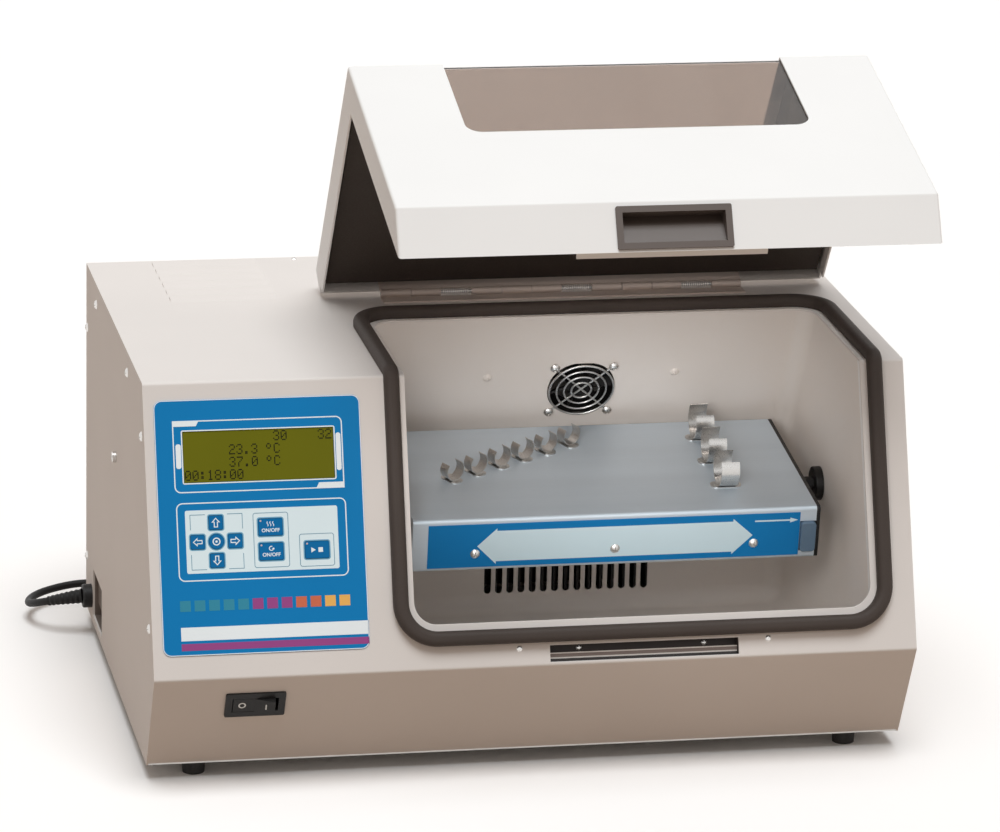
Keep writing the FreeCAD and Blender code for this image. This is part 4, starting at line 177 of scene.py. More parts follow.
whole_coil = 2 * COIL_TURNS + CLIMB_TURNS
into_coil = (coil_point(NUDGE) - coil_point(0)).normalized()
out_of_coil = (coil_point(whole_coil) - coil_point(whole_coil - NUDGE)).normalized()
coil_start = coil_point(0) - into_coil * COIL_LEAD_IN
coil_end = coil_point(whole_coil) + out_of_coil * COIL_LEAD_IN
tail = []
for step, sway in zip(range(len(TAIL_SWAY), 0, -1), TAIL_SWAY):
    tail.append(coil_start - into_coil * (TAIL_STEP * step) + Vector((0, sway, 0)))
coil_count = round(whole_coil * POINTS_PER_TURN)
coil = [coil_point(whole_coil * number / coil_count) for number in range(coil_count + 1)]
route = [Vector(point) for point in CORD_ROUTE]
cord_points = [GRIP_MOUTH] + route + tail + [coil_start] + coil + [coil_end]

cord_curve = bpy.data.curves.new("mains_cord", "CURVE")
cord_curve.dimensions = "3D"
cord_curve.resolution_u = 6
cord_curve.use_fill_caps = True
spline = cord_curve.splines.new("NURBS")
spline.points.add(len(cord_points) - 1)
for spot, point in zip(spline.points, cord_points):
    spot.co = (*in_room(*point), 1)
spline.order_u = 3
spline.use_endpoint_u = True
cord = bpy.data.objects.new("mains_cord", cord_curve)
bpy.context.collection.objects.link(cord)
bare_line = bpy.data.meshes.new_from_object(cord.evaluated_get(bpy.context.evaluated_depsgraph_get()))
cord_line = [vertex.co.copy() for vertex in bare_line.vertices]
bpy.data.meshes.remove(bare_line)
cord_curve.bevel_depth = CORD_RADIUS * MM
cord_curve.bevel_resolution = 5

# %% [markdown]
# Shared surface effects
#
# Powder coat, moulded plastic, film and metal all need the same two things: a fine grain that breaks up the
# gloss, and slow patches that keep a large face from looking like one flat colour. A second effect marks a
# band of a piece, such as the blades of a plug. Each effect is one node group with named inputs, so every
# finish uses the same nodes with its own values.

# %% Effect groups
NOISE_LOW, NOISE_HIGH = 0.32, 0.68
FINE_DETAIL, SLOW_DETAIL = 3, 2


def add_node(tree, kind, inputs=(), **settings):
    """A new node; an input that is a socket is linked, any other is set"""
    node = tree.nodes.new(kind)
    for label, value in settings.items():
        setattr(node, label, value)
    for label, value in dict(inputs).items():
        if isinstance(value, bpy.types.NodeSocket):
            tree.links.new(value, node.inputs[label])
        else:
            node.inputs[label].default_value = value
    return node


def math_node(tree, operation, first, second):
    """One sum or test on two sockets"""
    return add_node(tree, "ShaderNodeMath", {0: first, 1: second}, operation=operation).outputs["Value"]


def mix_node(tree, share, first, second):
    """The first colour where the share is 0, the second where it is 1"""
    sockets = {"Factor": share, "A": first, "B": second}
    return add_node(tree, "ShaderNodeMix", sockets, data_type="RGBA").outputs["Result"]


def noise_node(tree, vector, scale, detail):
    """A noise over a vector, from 0 to 1 and mostly near its middle"""
    sockets = {"Vector": vector, "Scale": scale, "Detail": detail}
    return add_node(tree, "ShaderNodeTexNoise", sockets).outputs["Fac"]


def spread_node(tree, source, low, high):
    """The middle of a noise stretched between two sockets or numbers"""
    ends = {"From Min": NOISE_LOW, "From Max": NOISE_HIGH, "To Min": low, "To Max": high}
    return add_node(tree, "ShaderNodeMapRange", {"Value": source, **ends}).outputs["Result"]


def effect(name, inputs, outputs):
    """A new shader node group with named sockets, its given sockets and its end node"""
    group = bpy.data.node_groups.new(name, "ShaderNodeTree")
    kinds = {"vector": "NodeSocketVector", "number": "NodeSocketFloat", "colour": "NodeSocketColor"}
    for label, kind in inputs:
        group.interface.new_socket(label, in_out="INPUT", socket_type=kinds[kind])
    for label, kind in outputs:
        group.interface.new_socket(label, in_out="OUTPUT", socket_type=kinds[kind])
    return group, group.nodes.new("NodeGroupInput").outputs, group.nodes.new("NodeGroupOutput")


def surface_grain():
    """Fine grain over slow patches: a colour, a roughness and a height"""
    group, given, put_out = effect(
        "surface_grain",
        [
            ("Vector", "vector"),
            ("Grain", "number"),
            ("Patch", "number"),
            ("Light", "colour"),
            ("Dark", "colour"),
            ("Smooth", "number"),
            ("Rough", "number"),
        ],
        [("Color", "colour"), ("Roughness", "number"), ("Height", "number")],
    )
    fine = noise_node(group, given["Vector"], given["Grain"], FINE_DETAIL)
    slow = noise_node(group, given["Vector"], given["Patch"], SLOW_DETAIL)
    share = spread_node(group, slow, 0.0, 1.0)
    tone = mix_node(group, share, given["Dark"], given["Light"])
    gloss = spread_node(group, fine, given["Smooth"], given["Rough"])
    for label, socket in (("Color", tone), ("Roughness", gloss), ("Height", fine)):
        group.links.new(socket, put_out.inputs[label])
    return group


def band_mask():
    """1 between two distances along a direction, else 0"""
    group, given, put_out = effect(
        "band_mask",
        [("Vector", "vector"), ("Direction", "vector"), ("Start", "number"), ("End", "number")],
        [("Mask", "number")],
    )
    ways = {0: given["Vector"], 1: given["Direction"]}
    along = add_node(group, "ShaderNodeVectorMath", ways, operation="DOT_PRODUCT").outputs["Value"]
    past_start = math_node(group, "GREATER_THAN", along, given["Start"])
    before_end = math_node(group, "LESS_THAN", along, given["End"])
    group.links.new(math_node(group, "MULTIPLY", past_start, before_end), put_out.inputs["Mask"])
    return group


GRAIN, BAND = surface_grain(), band_mask()
print("effects:", GRAIN.name, "and", BAND.name)

# %% [markdown]
# Finishes
#
# A finish is one Principled shader fed by the grain group. Paint, rubber and film differ in colour, gloss
# and grain; brushed metal is the same grain stretched along one direction by a Mapping node. Colours are
# written as screen colours and turned into the light values that the shader wants.

# %% Finish maker
BUMP_DISTANCE = 0.0002


def screen(red, green, blue):
    """A screen colour, 0 to 255, as light values"""

    def light(part):
        share = part / 255
        return share / 12.92 if share <= 0.04045 else ((share + 0.055) / 1.055) ** 2.4

    return light(red), light(green), light(blue), 1.0


def toned(colour, share):
    """The same colour, darker"""
    return tuple(part * share for part in colour[:3]) + (1.0,)


def finish(name, colour, gloss, grain=1500.0, patch=9.0, dark=0.94, depth=0.1, stretch=(1, 1, 1), **plain):
    """A material from the grain group; plain holds sockets that stay the same all over"""
    material = bpy.data.materials.new(name)
    material.use_nodes = True
    tree = material.node_tree
    shader = tree.nodes["Principled BSDF"]
    for label, number in plain.items():
        shader.inputs[label.replace("_", " ")].default_value = number
    place = tree.nodes.new("ShaderNodeTexCoord").outputs["Object"]
    mapping = add_node(tree, "ShaderNodeMapping", {"Vector": place, "Scale": stretch})
    values = {"Vector": mapping.outputs["Vector"], "Grain": grain, "Patch": patch, "Light": colour}
    values.update({"Dark": toned(colour, dark), "Smooth": gloss[0], "Rough": gloss[1]})
    surface = add_node(tree, "ShaderNodeGroup", values, node_tree=GRAIN).outputs
    relief = {"Strength": depth, "Distance": BUMP_DISTANCE, "Height": surface["Height"]}
    bump = add_node(tree, "ShaderNodeBump", relief)
    tree.links.new(surface["Color"], shader.inputs["Base Color"])
    tree.links.new(surface["Roughness"], shader.inputs["Roughness"])
    tree.links.new(bump.outputs["Normal"], shader.inputs["Normal"])
    return material


def banded(material, way, start, end, colour, metal=False):
    """Give a material another colour between two distances, in metres, along a direction"""
    tree = material.node_tree
    shader = tree.nodes["Principled BSDF"]
    place = tree.nodes.new("ShaderNodeTexCoord").outputs["Object"]
    values = {"Vector": place, "Direction": way, "Start": start, "End": end}
    mask = add_node(tree, "ShaderNodeGroup", values, node_tree=BAND).outputs["Mask"]
    base = shader.inputs["Base Color"]
    tree.links.new(mix_node(tree, mask, base.links[0].from_socket, colour), base)
    if metal:
        tree.links.new(mask, shader.inputs["Metallic"])


print("bump height", BUMP_DISTANCE * 1000, "mm at full strength")

# %% [markdown]
# Which finish goes where
#
# Every CAD node names a material slot in the record, so one finish for each slot dresses the whole frame.
# Paint, film and brushed metal share some values, so those stand in small tables. A low specular level keeps
# dark rubber, film and plastic from turning grey under the white room.

# %% Finishes of the frame
ALONG_X = (0.02, 1, 1)
PAINT = {"depth": 0.16, "Specular_IOR_Level": 0.25}
PRINTED_FILM = {"depth": 0.06, "Specular_IOR_Level": 0.1}
RUBBER = {"depth": 0.25, "Specular_IOR_Level": 0.25}
HARD_PLASTIC = {"grain": 1300.0, "depth": 0.25}
BRUSHED = {"grain": 2400.0, "patch": 26.0, "stretch": ALONG_X}
BACKLIGHT = {"Emission_Color": screen(120, 118, 20), "Emission_Strength": 0.12, "Specular_IOR_Level": 0.05}
CLEAR = {"depth": 0.0, "Transmission_Weight": 1.0, "IOR": 1.49}
finishes = {}


def keep(name, colour, gloss, **more):
    """Make a finish from a screen colour and keep it under its name"""
    finishes[name] = finish(name, screen(*colour), gloss, **more)


keep("cabinet_paint", (226, 219, 214), (0.52, 0.68), dark=0.975, **PAINT)
keep("lid_paint", (240, 238, 236), (0.50, 0.66), dark=0.98, **PAINT)
keep("liner_satin", (244, 236, 229), (0.34, 0.44), patch=5.0, dark=0.97, depth=0.05)
keep("lid_lining", (66, 58, 53), (0.6, 0.8), grain=900.0, depth=0.3, Specular_IOR_Level=0.3)
keep("gasket_rubber", (68, 59, 54), (0.55, 0.72), grain=1100.0, dark=0.85, **RUBBER)
keep("foot_rubber", (40, 37, 35), (0.60, 0.80), grain=900.0, dark=0.8, depth=0.3)
keep("zinc_plate", (200, 198, 194), (0.25, 0.45), patch=60.0, dark=0.85, Metallic=1.0)
keep("screw_steel", (226, 223, 219), (0.22, 0.36), dark=0.9, Metallic=1.0)
keep("hinge_steel", (214, 198, 188), (0.42, 0.56), patch=40.0, dark=0.9, stretch=ALONG_X, Metallic=0.15)
keep("spring_steel", (206, 204, 201), (0.24, 0.38), dark=0.9, Metallic=1.0)
keep("magnet_steel", (132, 117, 110), (0.4, 0.55), stretch=ALONG_X)
keep("taupe_plastic", (88, 77, 71), (0.38, 0.52), **HARD_PLASTIC)
keep("black_plastic", (30, 28, 27), (0.38, 0.54), dark=0.8, Specular_IOR_Level=0.3, **HARD_PLASTIC)
keep("overlay_film", (20, 128, 192), (0.40, 0.50), dark=0.95, **PRINTED_FILM)
keep("key_plastic", (16, 112, 172), (0.42, 0.52), dark=0.92, **PRINTED_FILM)
keep("circuit_board", (38, 92, 52), (0.35, 0.55), patch=80.0, dark=0.8)
keep("foam", (206, 198, 172), (0.8, 0.95), grain=500.0, patch=90.0, dark=0.8, depth=0.6)
keep("platform_aluminium", (202, 213, 222), (0.42, 0.56), dark=0.93, Metallic=0.45, **BRUSHED)
keep("cord_rubber", (22, 20, 19), (0.46, 0.62), dark=0.8, depth=0.2, Specular_IOR_Level=0.25)
keep("lever_grey", (92, 116, 138), (0.35, 0.5), dark=0.9)
keep("label_film", (26, 124, 188), (0.36, 0.46), dark=0.95, **PRINTED_FILM)
keep("display_glass", (100, 100, 22), (0.34, 0.44), patch=14.0, dark=0.9, depth=0.03, **BACKLIGHT)
keep("window_acrylic", (196, 182, 172), (0.03, 0.07), dark=0.97, **CLEAR)
keep("recess_shade", (112, 100, 92), (0.5, 0.7), dark=0.9)
# Painted shade: a dark finish for the catch's channel, standing in for the shadow in its deep recess
keep("recess_painted_shade", (60, 51, 48), (0.4, 0.55), dark=0.85, Specular_IOR_Level=0.3)
print(len(finishes), "finishes")

# %% [markdown]
# Painted highlights and shade, and dressing the nodes
#
# Folded steel catches light on its edges, and here that light is painted. The magnet bar behind the catch
# gets two painted highlight lines above painted shade in its gap, and the liner's rim gets a painted
# highlight that makes it brighter than its walls. A band of colour along a direction paints each of them
# without another piece. A few nodes share a slot but get a finish of their own: most look different on the
# real object, while the catch's channel and the heater core behind the slots are dark as painted shade of
# their deep recesses.

# %% Painted highlights, painted shade and nodes
UP_FRONT, OUT_OF_FRONT = (FRONT.to_3x3().col[axis].normalized() for axis in (1, 2))
front_up, front_out = FRONT.translation.dot(UP_FRONT), FRONT.translation.dot(OUT_OF_FRONT)
# Painted highlight and painted shade for the magnet bar: two lit edge lines, and the shadowed gap below them
EDGE_HIGHLIGHT = screen(236, 230, 224)
GAP_SHADE = screen(40, 34, 32)
RIM_HIGHLIGHT = screen(252, 250, 248)
MAGNET_HIGHLIGHT_AND_SHADE = (
    (-222.8, -221.5, EDGE_HIGHLIGHT),
    (-226.6, -225.5, EDGE_HIGHLIGHT),
    (-230.0, -226.6, GAP_SHADE),
)
for low, high, colour in MAGNET_HIGHLIGHT_AND_SHADE:
    banded(finishes["magnet_steel"], UP_FRONT, front_up + low * MM, front_up + high * MM, colour)
# Painted highlight: the liner is whiter within 7 mm of the front, where its rim catches the light
RIM_DEPTH = 7.0
FAR_OUT = 1.0
banded(finishes["liner_satin"], OUT_OF_FRONT, front_out - RIM_DEPTH * MM, front_out + FAR_OUT, RIM_HIGHLIGHT)

special = {
    "release_lever": "lever_grey",
    "platform_label": "label_film",
    "liner_screws": "liner_satin",
    "lid_strike": "lid_paint",
    "drive_shaft": "black_plastic",
    "pivot_stub": "black_plastic",
    # Painted shade: the heater core is black to stand in for the darkness behind the liner's slots
    "heater_core": "black_plastic",
    "side_jack": "screw_steel",
    "inlet_box": "recess_shade",
    # Painted shade: the catch's channel is dark for the shadow in its recess
    "catch_channel": "recess_painted_shade",
}
for part in frame["record"]["subparts"]:
    dress = finishes[special.get(part["node"], part["material_slot"])]
    for slot in nodes[part["node"]].material_slots:
        slot.material = dress
print(len(nodes), "nodes dressed,", len(special), "of them apart from their slot")

# %% [markdown]
# Flat printed shapes
#
# Lines, signs and fields on the film are ink: flat shapes a few hundredths of a millimetre thick. A flat
# Blender curve fills its outlines and leaves nested ones as holes, so a frame line is just two outlines. The
# curve becomes a mesh before it is put in its place, because a finished piece carries its place in its mesh.

# %% Printing
INK = 0.07
SHARPEST = 0.05


def oblong(x0, y0, x1, y1, radius, steps=6):
    """Outline of a rectangle with round corners"""
    points = []
    for number, (x, y) in enumerate(((x1, y0), (x1, y1), (x0, y1), (x0, y0))):
        middle_x = x - radius if x == x1 else x + radius
        middle_y = y - radius if y == y1 else y + radius
        for step in range(steps + 1):
            angle = math.radians(90 * (number - 1 + step / steps))
            points.append((middle_x + radius * math.cos(angle), middle_y + radius * math.sin(angle)))
    return points


def ring(x, y, radius, steps=40):
    """Outline of a circle"""
    turns = [2 * math.pi * step / steps for step in range(steps)]
    return [(x + radius * math.cos(turn), y + radius * math.sin(turn)) for turn in turns]


def frame_line(x0, y0, x1, y1, radius, line):
    """The two outlines of a frame line that reaches inwards from a rectangle"""
    inner = max(radius - line, SHARPEST)
    return [oblong(x0, y0, x1, y1, radius), oblong(x0 + line, y0 + line, x1 - line, y1 - line, inner)]


def flat_mesh(name, outlines, thickness):
    """A plate from flat outlines, with nested outlines as holes"""
    curve = bpy.data.curves.new(name, "CURVE")
    curve.dimensions = "2D"
    curve.fill_mode = "BOTH"
    curve.extrude = thickness / 2
    for outline in outlines:
        loop = curve.splines.new("POLY")
        loop.points.add(len(outline) - 1)
        for spot, (x, y) in zip(loop.points, outline):
            spot.co = (x, y, 0, 1)
        loop.use_cyclic_u = True
    return meshed(name, curve)


def meshed(name, curve):
    """A curve or text turned into a plain mesh"""
    maker = bpy.data.objects.new(name, curve)
    bpy.context.collection.objects.link(maker)
    mesh = bpy.data.meshes.new_from_object(maker.evaluated_get(bpy.context.evaluated_depsgraph_get()))
    bpy.data.objects.remove(maker)
    mesh.name = name
    return mesh


def put_down(name, mesh, place, material, body):
    """A piece from a mesh, moved to its place, dressed, and riding on a body"""
    mesh.transform(place)
    mesh.materials.clear()
    mesh.materials.append(material)
    piece = bpy.data.objects.new(name, mesh)
    bpy.context.collection.objects.link(piece)
    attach(piece, body)
    return piece


def printed(name, outlines, place, base, material, body="cabinet"):
    """Ink of some outlines on a panel, base millimetres out of it"""
    mesh = flat_mesh(name, outlines, INK)
    put_down(name, mesh, place @ Matrix.Translation((0, 0, base + INK / 2)), material, body)


def ink(word, colour, dark, gloss=(0.34, 0.44)):
    """The finish of a printing ink"""
    return finish(f"ink_{word}", screen(*colour), gloss, dark=dark, depth=0.05)


INK_WHITE = ink("white", (242, 249, 252), 0.97)
INK_PALE = ink("pale", (230, 246, 251), 0.97)
INK_SLATE = ink("slate", (104, 150, 172), 0.95)
INK_HALO = ink("halo", (120, 178, 206), 0.95)
print("ink is", INK, "mm thick")

# %% [markdown]
# The control film
#
# The film on the sloping front is printed blue with white frame lines round the display and the keys. The
# keys stand in a pale field. The field's ink stops short of every key, as on a real keypad, so it has one
# hole for each key, and a softer ring of ink round the hole.

# %% Control film
FILM = 0.6
LINE, EDGE_LINE, THIN_LINE = 0.9, 0.6, 0.5
FILM_EDGE = (-296.9, -212.4, -135.1, -14.1)
FILM_CORNER = 6.4
DISPLAY = (-275.1, -78.3, -156.9, -38.9)
DISPLAY_GAP, DISPLAY_CORNER = 1.3, 1.6
DISPLAY_FRAME = (-283.0, -86.3, -149.6, -30.2)
KEYPAD_FRAME = (-282.5, -155.0, -149.0, -94.0)
FRAME_CORNER = 5.0
TAB_LEFT = [(-283.0, -30.2), (-262.0, -30.2), (-264.5, -34.6), (-283.0, -34.6)]
TAB_RIGHT = [(-149.6, -86.3), (-172.0, -86.3), (-169.5, -81.6), (-149.6, -81.6)]
SIDE_TABS = ((-281.0, -67.4, -276.9, -48.2), (-155.1, -72.6, -151.2, -43.2))
SIDE_TAB_CORNER = 1.8
KEY_FIELD = (-275.8, -149.0, -156.2, -100.0)
FIELD_CORNER = 1.5
ARROW_KEY, ARROW_STEP, ARROW_MIDDLE = 10.8, 14.75, (-252.0, -124.7)
ROUND_KEY = 5.8
MODE_KEY = (18.8, 13.2)
KEY_CORNER = 1.0
MODE_KEYS = {"key_heat": (-209.3, -115.0), "key_mix": (-209.3, -134.0), "key_start": (-173.4, -134.0)}
ARROWS = {"key_up": (0, 1), "key_left": (-1, 0), "key_right": (1, 0), "key_down": (0, -1)}
HALO_GAP, HALO = 0.4, 0.9


def arrow_spot(across, along):
    """Middle of an arrow key"""
    return ARROW_MIDDLE[0] + across * ARROW_STEP, ARROW_MIDDLE[1] + along * ARROW_STEP


def key_outlines(grow):
    """The outline of every key, grown by some millimetres"""
    places = [(*arrow_spot(*way), ARROW_KEY, ARROW_KEY) for way in ARROWS.values()]
    places += [(*spot, *MODE_KEY) for spot in MODE_KEYS.values()]
    outlines = [ring(*ARROW_MIDDLE, ROUND_KEY + grow)]
    for x, y, wide, high in places:
        across, along = wide / 2 + grow, high / 2 + grow
        outlines.append(oblong(x - across, y - along, x + across, y + along, KEY_CORNER + grow))
    return outlines


def grown_box(box, grow):
    """A box moved outwards on all sides"""
    return box[0] - grow, box[1] - grow, box[2] + grow, box[3] + grow


def corner_bracket(x, y, across, along, reach, line):
    """An L of ink at a corner"""
    return [
        (x, y),
        (x + across * reach, y),
        (x + across * reach, y + along * line),
        (x + across * line, y + along * line),
        (x + across * line, y + along * reach),
        (x, y + along * reach),
    ]


white_lines = (
    frame_line(*DISPLAY_FRAME, FRAME_CORNER, LINE)
    + frame_line(*KEYPAD_FRAME, FRAME_CORNER, LINE)
    + frame_line(*grown_box(DISPLAY, DISPLAY_GAP), DISPLAY_CORNER, LINE)
    + frame_line(*FILM_EDGE, FILM_CORNER, EDGE_LINE)
)
printed("film_lines", white_lines, FRONT, FILM, INK_WHITE)
side_tabs = [oblong(*tab, SIDE_TAB_CORNER) for tab in SIDE_TABS]
printed("film_tabs", [TAB_LEFT, TAB_RIGHT] + side_tabs, FRONT, FILM + INK, INK_WHITE)
field_holes = key_outlines(HALO_GAP + HALO)
printed("key_field", [oblong(*KEY_FIELD, FIELD_CORNER)] + field_holes, FRONT, FILM, INK_PALE)
printed("key_halos", key_outlines(HALO_GAP) + field_holes, FRONT, FILM, INK_HALO)

CLUSTER, BRACKET_REACH = (-272.2, -146.4, -230.9, -103.3), 12.0
MODE_FRAME = (-222.9, -146.4, -195.1, -103.6)
START_FRAME = (-187.1, -146.8, -159.7, -121.2)
KEY_FRAME_CORNER = 2.0
key_lines = [
    corner_bracket(x, y, across, along, BRACKET_REACH, THIN_LINE)
    for x, across in ((CLUSTER[0], 1), (CLUSTER[2], -1))
    for y, along in ((CLUSTER[1], 1), (CLUSTER[3], -1))
]
for box in (MODE_FRAME, START_FRAME):
    key_lines += frame_line(*box, KEY_FRAME_CORNER, THIN_LINE)
printed("key_lines", key_lines, FRONT, FILM + INK, INK_SLATE)
print("film printed with", len(field_holes), "key holes")

# %% [markdown]
# Geometry Nodes from a script
#
# What repeats or follows a rule is made by Geometry Nodes: blocks in a row, dots, coils of a spring. A few
# helpers are enough: one makes a tree with named inputs, one instances a shape on points and realizes it,
# and one runs a tree and keeps its plain mesh. Inputs are set by their identifiers before the first run.

# %% Geometry Nodes helpers
def geometry_tree(name, inputs):
    """A geometry node tree with named inputs, its given sockets and its end node"""
    tree = bpy.data.node_groups.new(name, "GeometryNodeTree")
    tree.interface.new_socket("Geometry", in_out="INPUT", socket_type="NodeSocketGeometry")
    for label, kind in inputs.items():
        tree.interface.new_socket(label, in_out="INPUT", socket_type=f"NodeSocket{kind}")
    tree.interface.new_socket("Geometry", in_out="OUTPUT", socket_type="NodeSocketGeometry")
    return tree, tree.nodes.new("NodeGroupInput").outputs, tree.nodes.new("NodeGroupOutput")


def shape_on_points(tree, given, put_out, points, shape):
    """Instance a shape on points, realize it and set its material"""
    instance = add_node(tree, "GeometryNodeInstanceOnPoints", {"Points": points, "Instance": shape})
    realize = add_node(tree, "GeometryNodeRealizeInstances", {"Geometry": instance.outputs["Instances"]})
    worn = {"Geometry": realize.outputs["Geometry"], "Material": given["Finish"]}
    dress = add_node(tree, "GeometryNodeSetMaterial", worn)
    tree.links.new(dress.outputs["Geometry"], put_out.inputs["Geometry"])


def given_box(tree, given):
    """A box of the given size"""
    return add_node(tree, "GeometryNodeMeshCube", {"Size": given["Size"]}).outputs["Mesh"]


def grown_mesh(name, tree, values, points=()):
    """The plain mesh that a tree makes from some points"""
    seed = bpy.data.meshes.new(name)
    seed.from_pydata(list(points), [], [])
    maker = bpy.data.objects.new(name, seed)
    bpy.context.collection.objects.link(maker)
    modifier = maker.modifiers.new(tree.name, "NODES")
    modifier.node_group = tree
    sockets = {item.name: item.identifier for item in tree.interface.items_tree if item.in_out == "INPUT"}
    for label, number in values.items():
        modifier[sockets[label]] = number
    mesh = bpy.data.meshes.new_from_object(maker.evaluated_get(bpy.context.evaluated_depsgraph_get()))
    maker.modifiers.remove(modifier)
    bpy.data.objects.remove(maker)
    mesh.name = name
    return mesh


print("helpers for trees, instances and meshes")

# %% [markdown]
# The coloured blocks and stripes
#
# Below the keys the film carries plain decoration: a row of blocks that goes from teal to amber, and two
# stripes. Equal blocks along a line are a typical job for a tree: a Mesh Line gives the places, and a flat
# box is instanced on them. Each colour is one run of the same tree with its own count and start.

# %% Block row and stripes
def block_row_tree():
    """A tree that lays boxes along a line"""
    kinds = {"Count": "Int", "Start": "Vector", "Pitch": "Vector", "Size": "Vector", "Finish": "Material"}
    tree, given, put_out = geometry_tree("block_row", kinds)
    line = {"Count": given["Count"], "Start Location": given["Start"], "Offset": given["Pitch"]}
    row = add_node(tree, "GeometryNodeMeshLine", line)
    shape_on_points(tree, given, put_out, row.outputs["Mesh"], given_box(tree, given))
    return tree


BLOCK_TREE = block_row_tree()
BLOCK_LEFT, BLOCK_RIGHT, BLOCK_DROP = -282.5, -149.0, 174.0
BLOCK_SIZE = (8.4, 8.4)
BLOCK_COLOURS = {
    "teal": ((34, 134, 160), 5),
    "plum": ((150, 60, 130), 3),
    "rust": ((206, 104, 72), 2),
    "amber": ((240, 182, 92), 2),
}
block_count = sum(count for colour, count in BLOCK_COLOURS.values())
block_pitch = (BLOCK_RIGHT - BLOCK_LEFT - BLOCK_SIZE[0]) / (block_count - 1)
block_inks = {}
placed = 0
for word, (colour, count) in BLOCK_COLOURS.items():
    block_inks[word] = ink(word, colour, 0.95)
    values = {
        "Count": count,
        "Start": (BLOCK_LEFT + BLOCK_SIZE[0] / 2 + placed * block_pitch, -BLOCK_DROP, FILM + INK / 2),
        "Pitch": (block_pitch, 0, 0),
        "Size": (*BLOCK_SIZE, INK),
        "Finish": block_inks[word],
    }
    mesh = grown_mesh(f"blocks_{word}", BLOCK_TREE, values)
    put_down(f"blocks_{word}", mesh, FRONT, block_inks[word], "cabinet")
    placed += count

PALE_STRIPE = (-282.5, -201.0, -135.2, -190.5)
PLUM_STRIPE = (-282.5, -208.6, -135.2, -203.2)
STRIPE_CORNER = 0.1
printed("pale_stripe", [oblong(*PALE_STRIPE, STRIPE_CORNER)], FRONT, FILM, INK_WHITE)
printed("plum_stripe", [oblong(*PLUM_STRIPE, STRIPE_CORNER)], FRONT, FILM, block_inks["plum"])
print(placed, "blocks,", round(block_pitch, 2), "mm apart")

# %% [markdown]
# The display's numbers
#
# The display builds each character from five by seven dots. Writing the lit dots of a few numerals as small
# patterns is enough; the places of all lit dots then go to a tree that puts a tiny square on each of them.

# %% Display
GLYPHS = {
    "0": "01110 10001 10011 10101 11001 10001 01110",
    "1": "00100 01100 00100 00100 00100 00100 01110",
    "2": "01110 10001 00001 00110 01000 10000 11111",
    "3": "01110 10001 00001 00110 00001 10001 01110",
    "7": "11111 00001 00010 00100 01000 01000 01000",
    "8": "01110 10001 10001 01110 10001 10001 01110",
    ":": "00000 01100 01100 00000 01100 01100 00000",
    ".": "00000 00000 00000 00000 00000 01100 01100",
    "*": "01100 10010 10010 01100 00000 00000 00000",
    "C": "01110 10001 10000 10000 10000 10001 01110",
}
READINGS = [
    (0, 12, "30"),
    (0, 18, "32"),
    (1, 6, "23.3"),
    (1, 11, "*C"),
    (2, 6, "37.0"),
    (2, 11, "*C"),
    (3, 0, "00:18:00"),
]
CELL = (5.86, 9.7)
DOT_PITCH, DOT = (0.97, 1.14), (0.84, 1.0)
DISPLAY_MARGIN = (0.7, 0.9)


def lit_dots():
    """Places of all lit dots on the front panel"""
    spots = []
    for line, column, reading in READINGS:
        for number, character in enumerate(reading):
            left = DISPLAY[0] + DISPLAY_MARGIN[0] + (column + number) * CELL[0] + DOT_PITCH[0] / 2
            top = DISPLAY[3] - DISPLAY_MARGIN[1] - line * CELL[1] - DOT_PITCH[1] / 2
            for drop, row in enumerate(GLYPHS[character].split()):
                for across, lit in enumerate(row):
                    if lit == "1":
                        spots.append((left + across * DOT_PITCH[0], top - drop * DOT_PITCH[1], INK / 2))
    return spots


def dot_tree():
    """A tree that puts a box on each given point"""
    kinds = {"Size": "Vector", "Finish": "Material"}
    tree, given, put_out = geometry_tree("display_dots", kinds)
    shape_on_points(tree, given, put_out, given["Geometry"], given_box(tree, given))
    return tree


DOT_LOOK = {"dark": 0.9, "depth": 0.03, "Specular_IOR_Level": 0.05}
DOT_FINISH = finish("display_dots", screen(24, 25, 20), (0.4, 0.5), **DOT_LOOK)
dots = lit_dots()
dot_mesh = grown_mesh("display_digits", dot_tree(), {"Size": (*DOT, INK), "Finish": DOT_FINISH}, dots)
put_down("display_digits", dot_mesh, FRONT, DOT_FINISH, "cabinet")
print(len(dots), "lit dots")

# %% [markdown]
# Signs on the keys
#
# Each key moves on its own, so each sign is its own piece and rides on its key. Arrows are drawn once,
# pointing up, and turned. Words are kept to ON/OFF; the other signs are shapes that any keypad has.

# %% Key signs
KEY_RISE = 0.5
KEY_TOP = FILM + KEY_RISE


def turned(points, turn, x, y):
    """Points turned about zero and moved"""
    c, s = math.cos(turn), math.sin(turn)
    return [(x + px * c - py * s, y + px * s + py * c) for px, py in points]


def arrow(length, head, half_head, half_shaft):
    """An arrow that points up, round its middle"""
    top, low = length / 2, -length / 2
    neck = top - head
    return [
        (0, top),
        (-half_head, neck),
        (-half_shaft, neck),
        (-half_shaft, low),
        (half_shaft, low),
        (half_shaft, neck),
        (half_head, neck),
    ]


def on_key(key, name, outlines, material):
    """Ink on top of a key, riding on it"""
    printed(name, outlines, FRONT, KEY_TOP, material, f"{key}_cap")


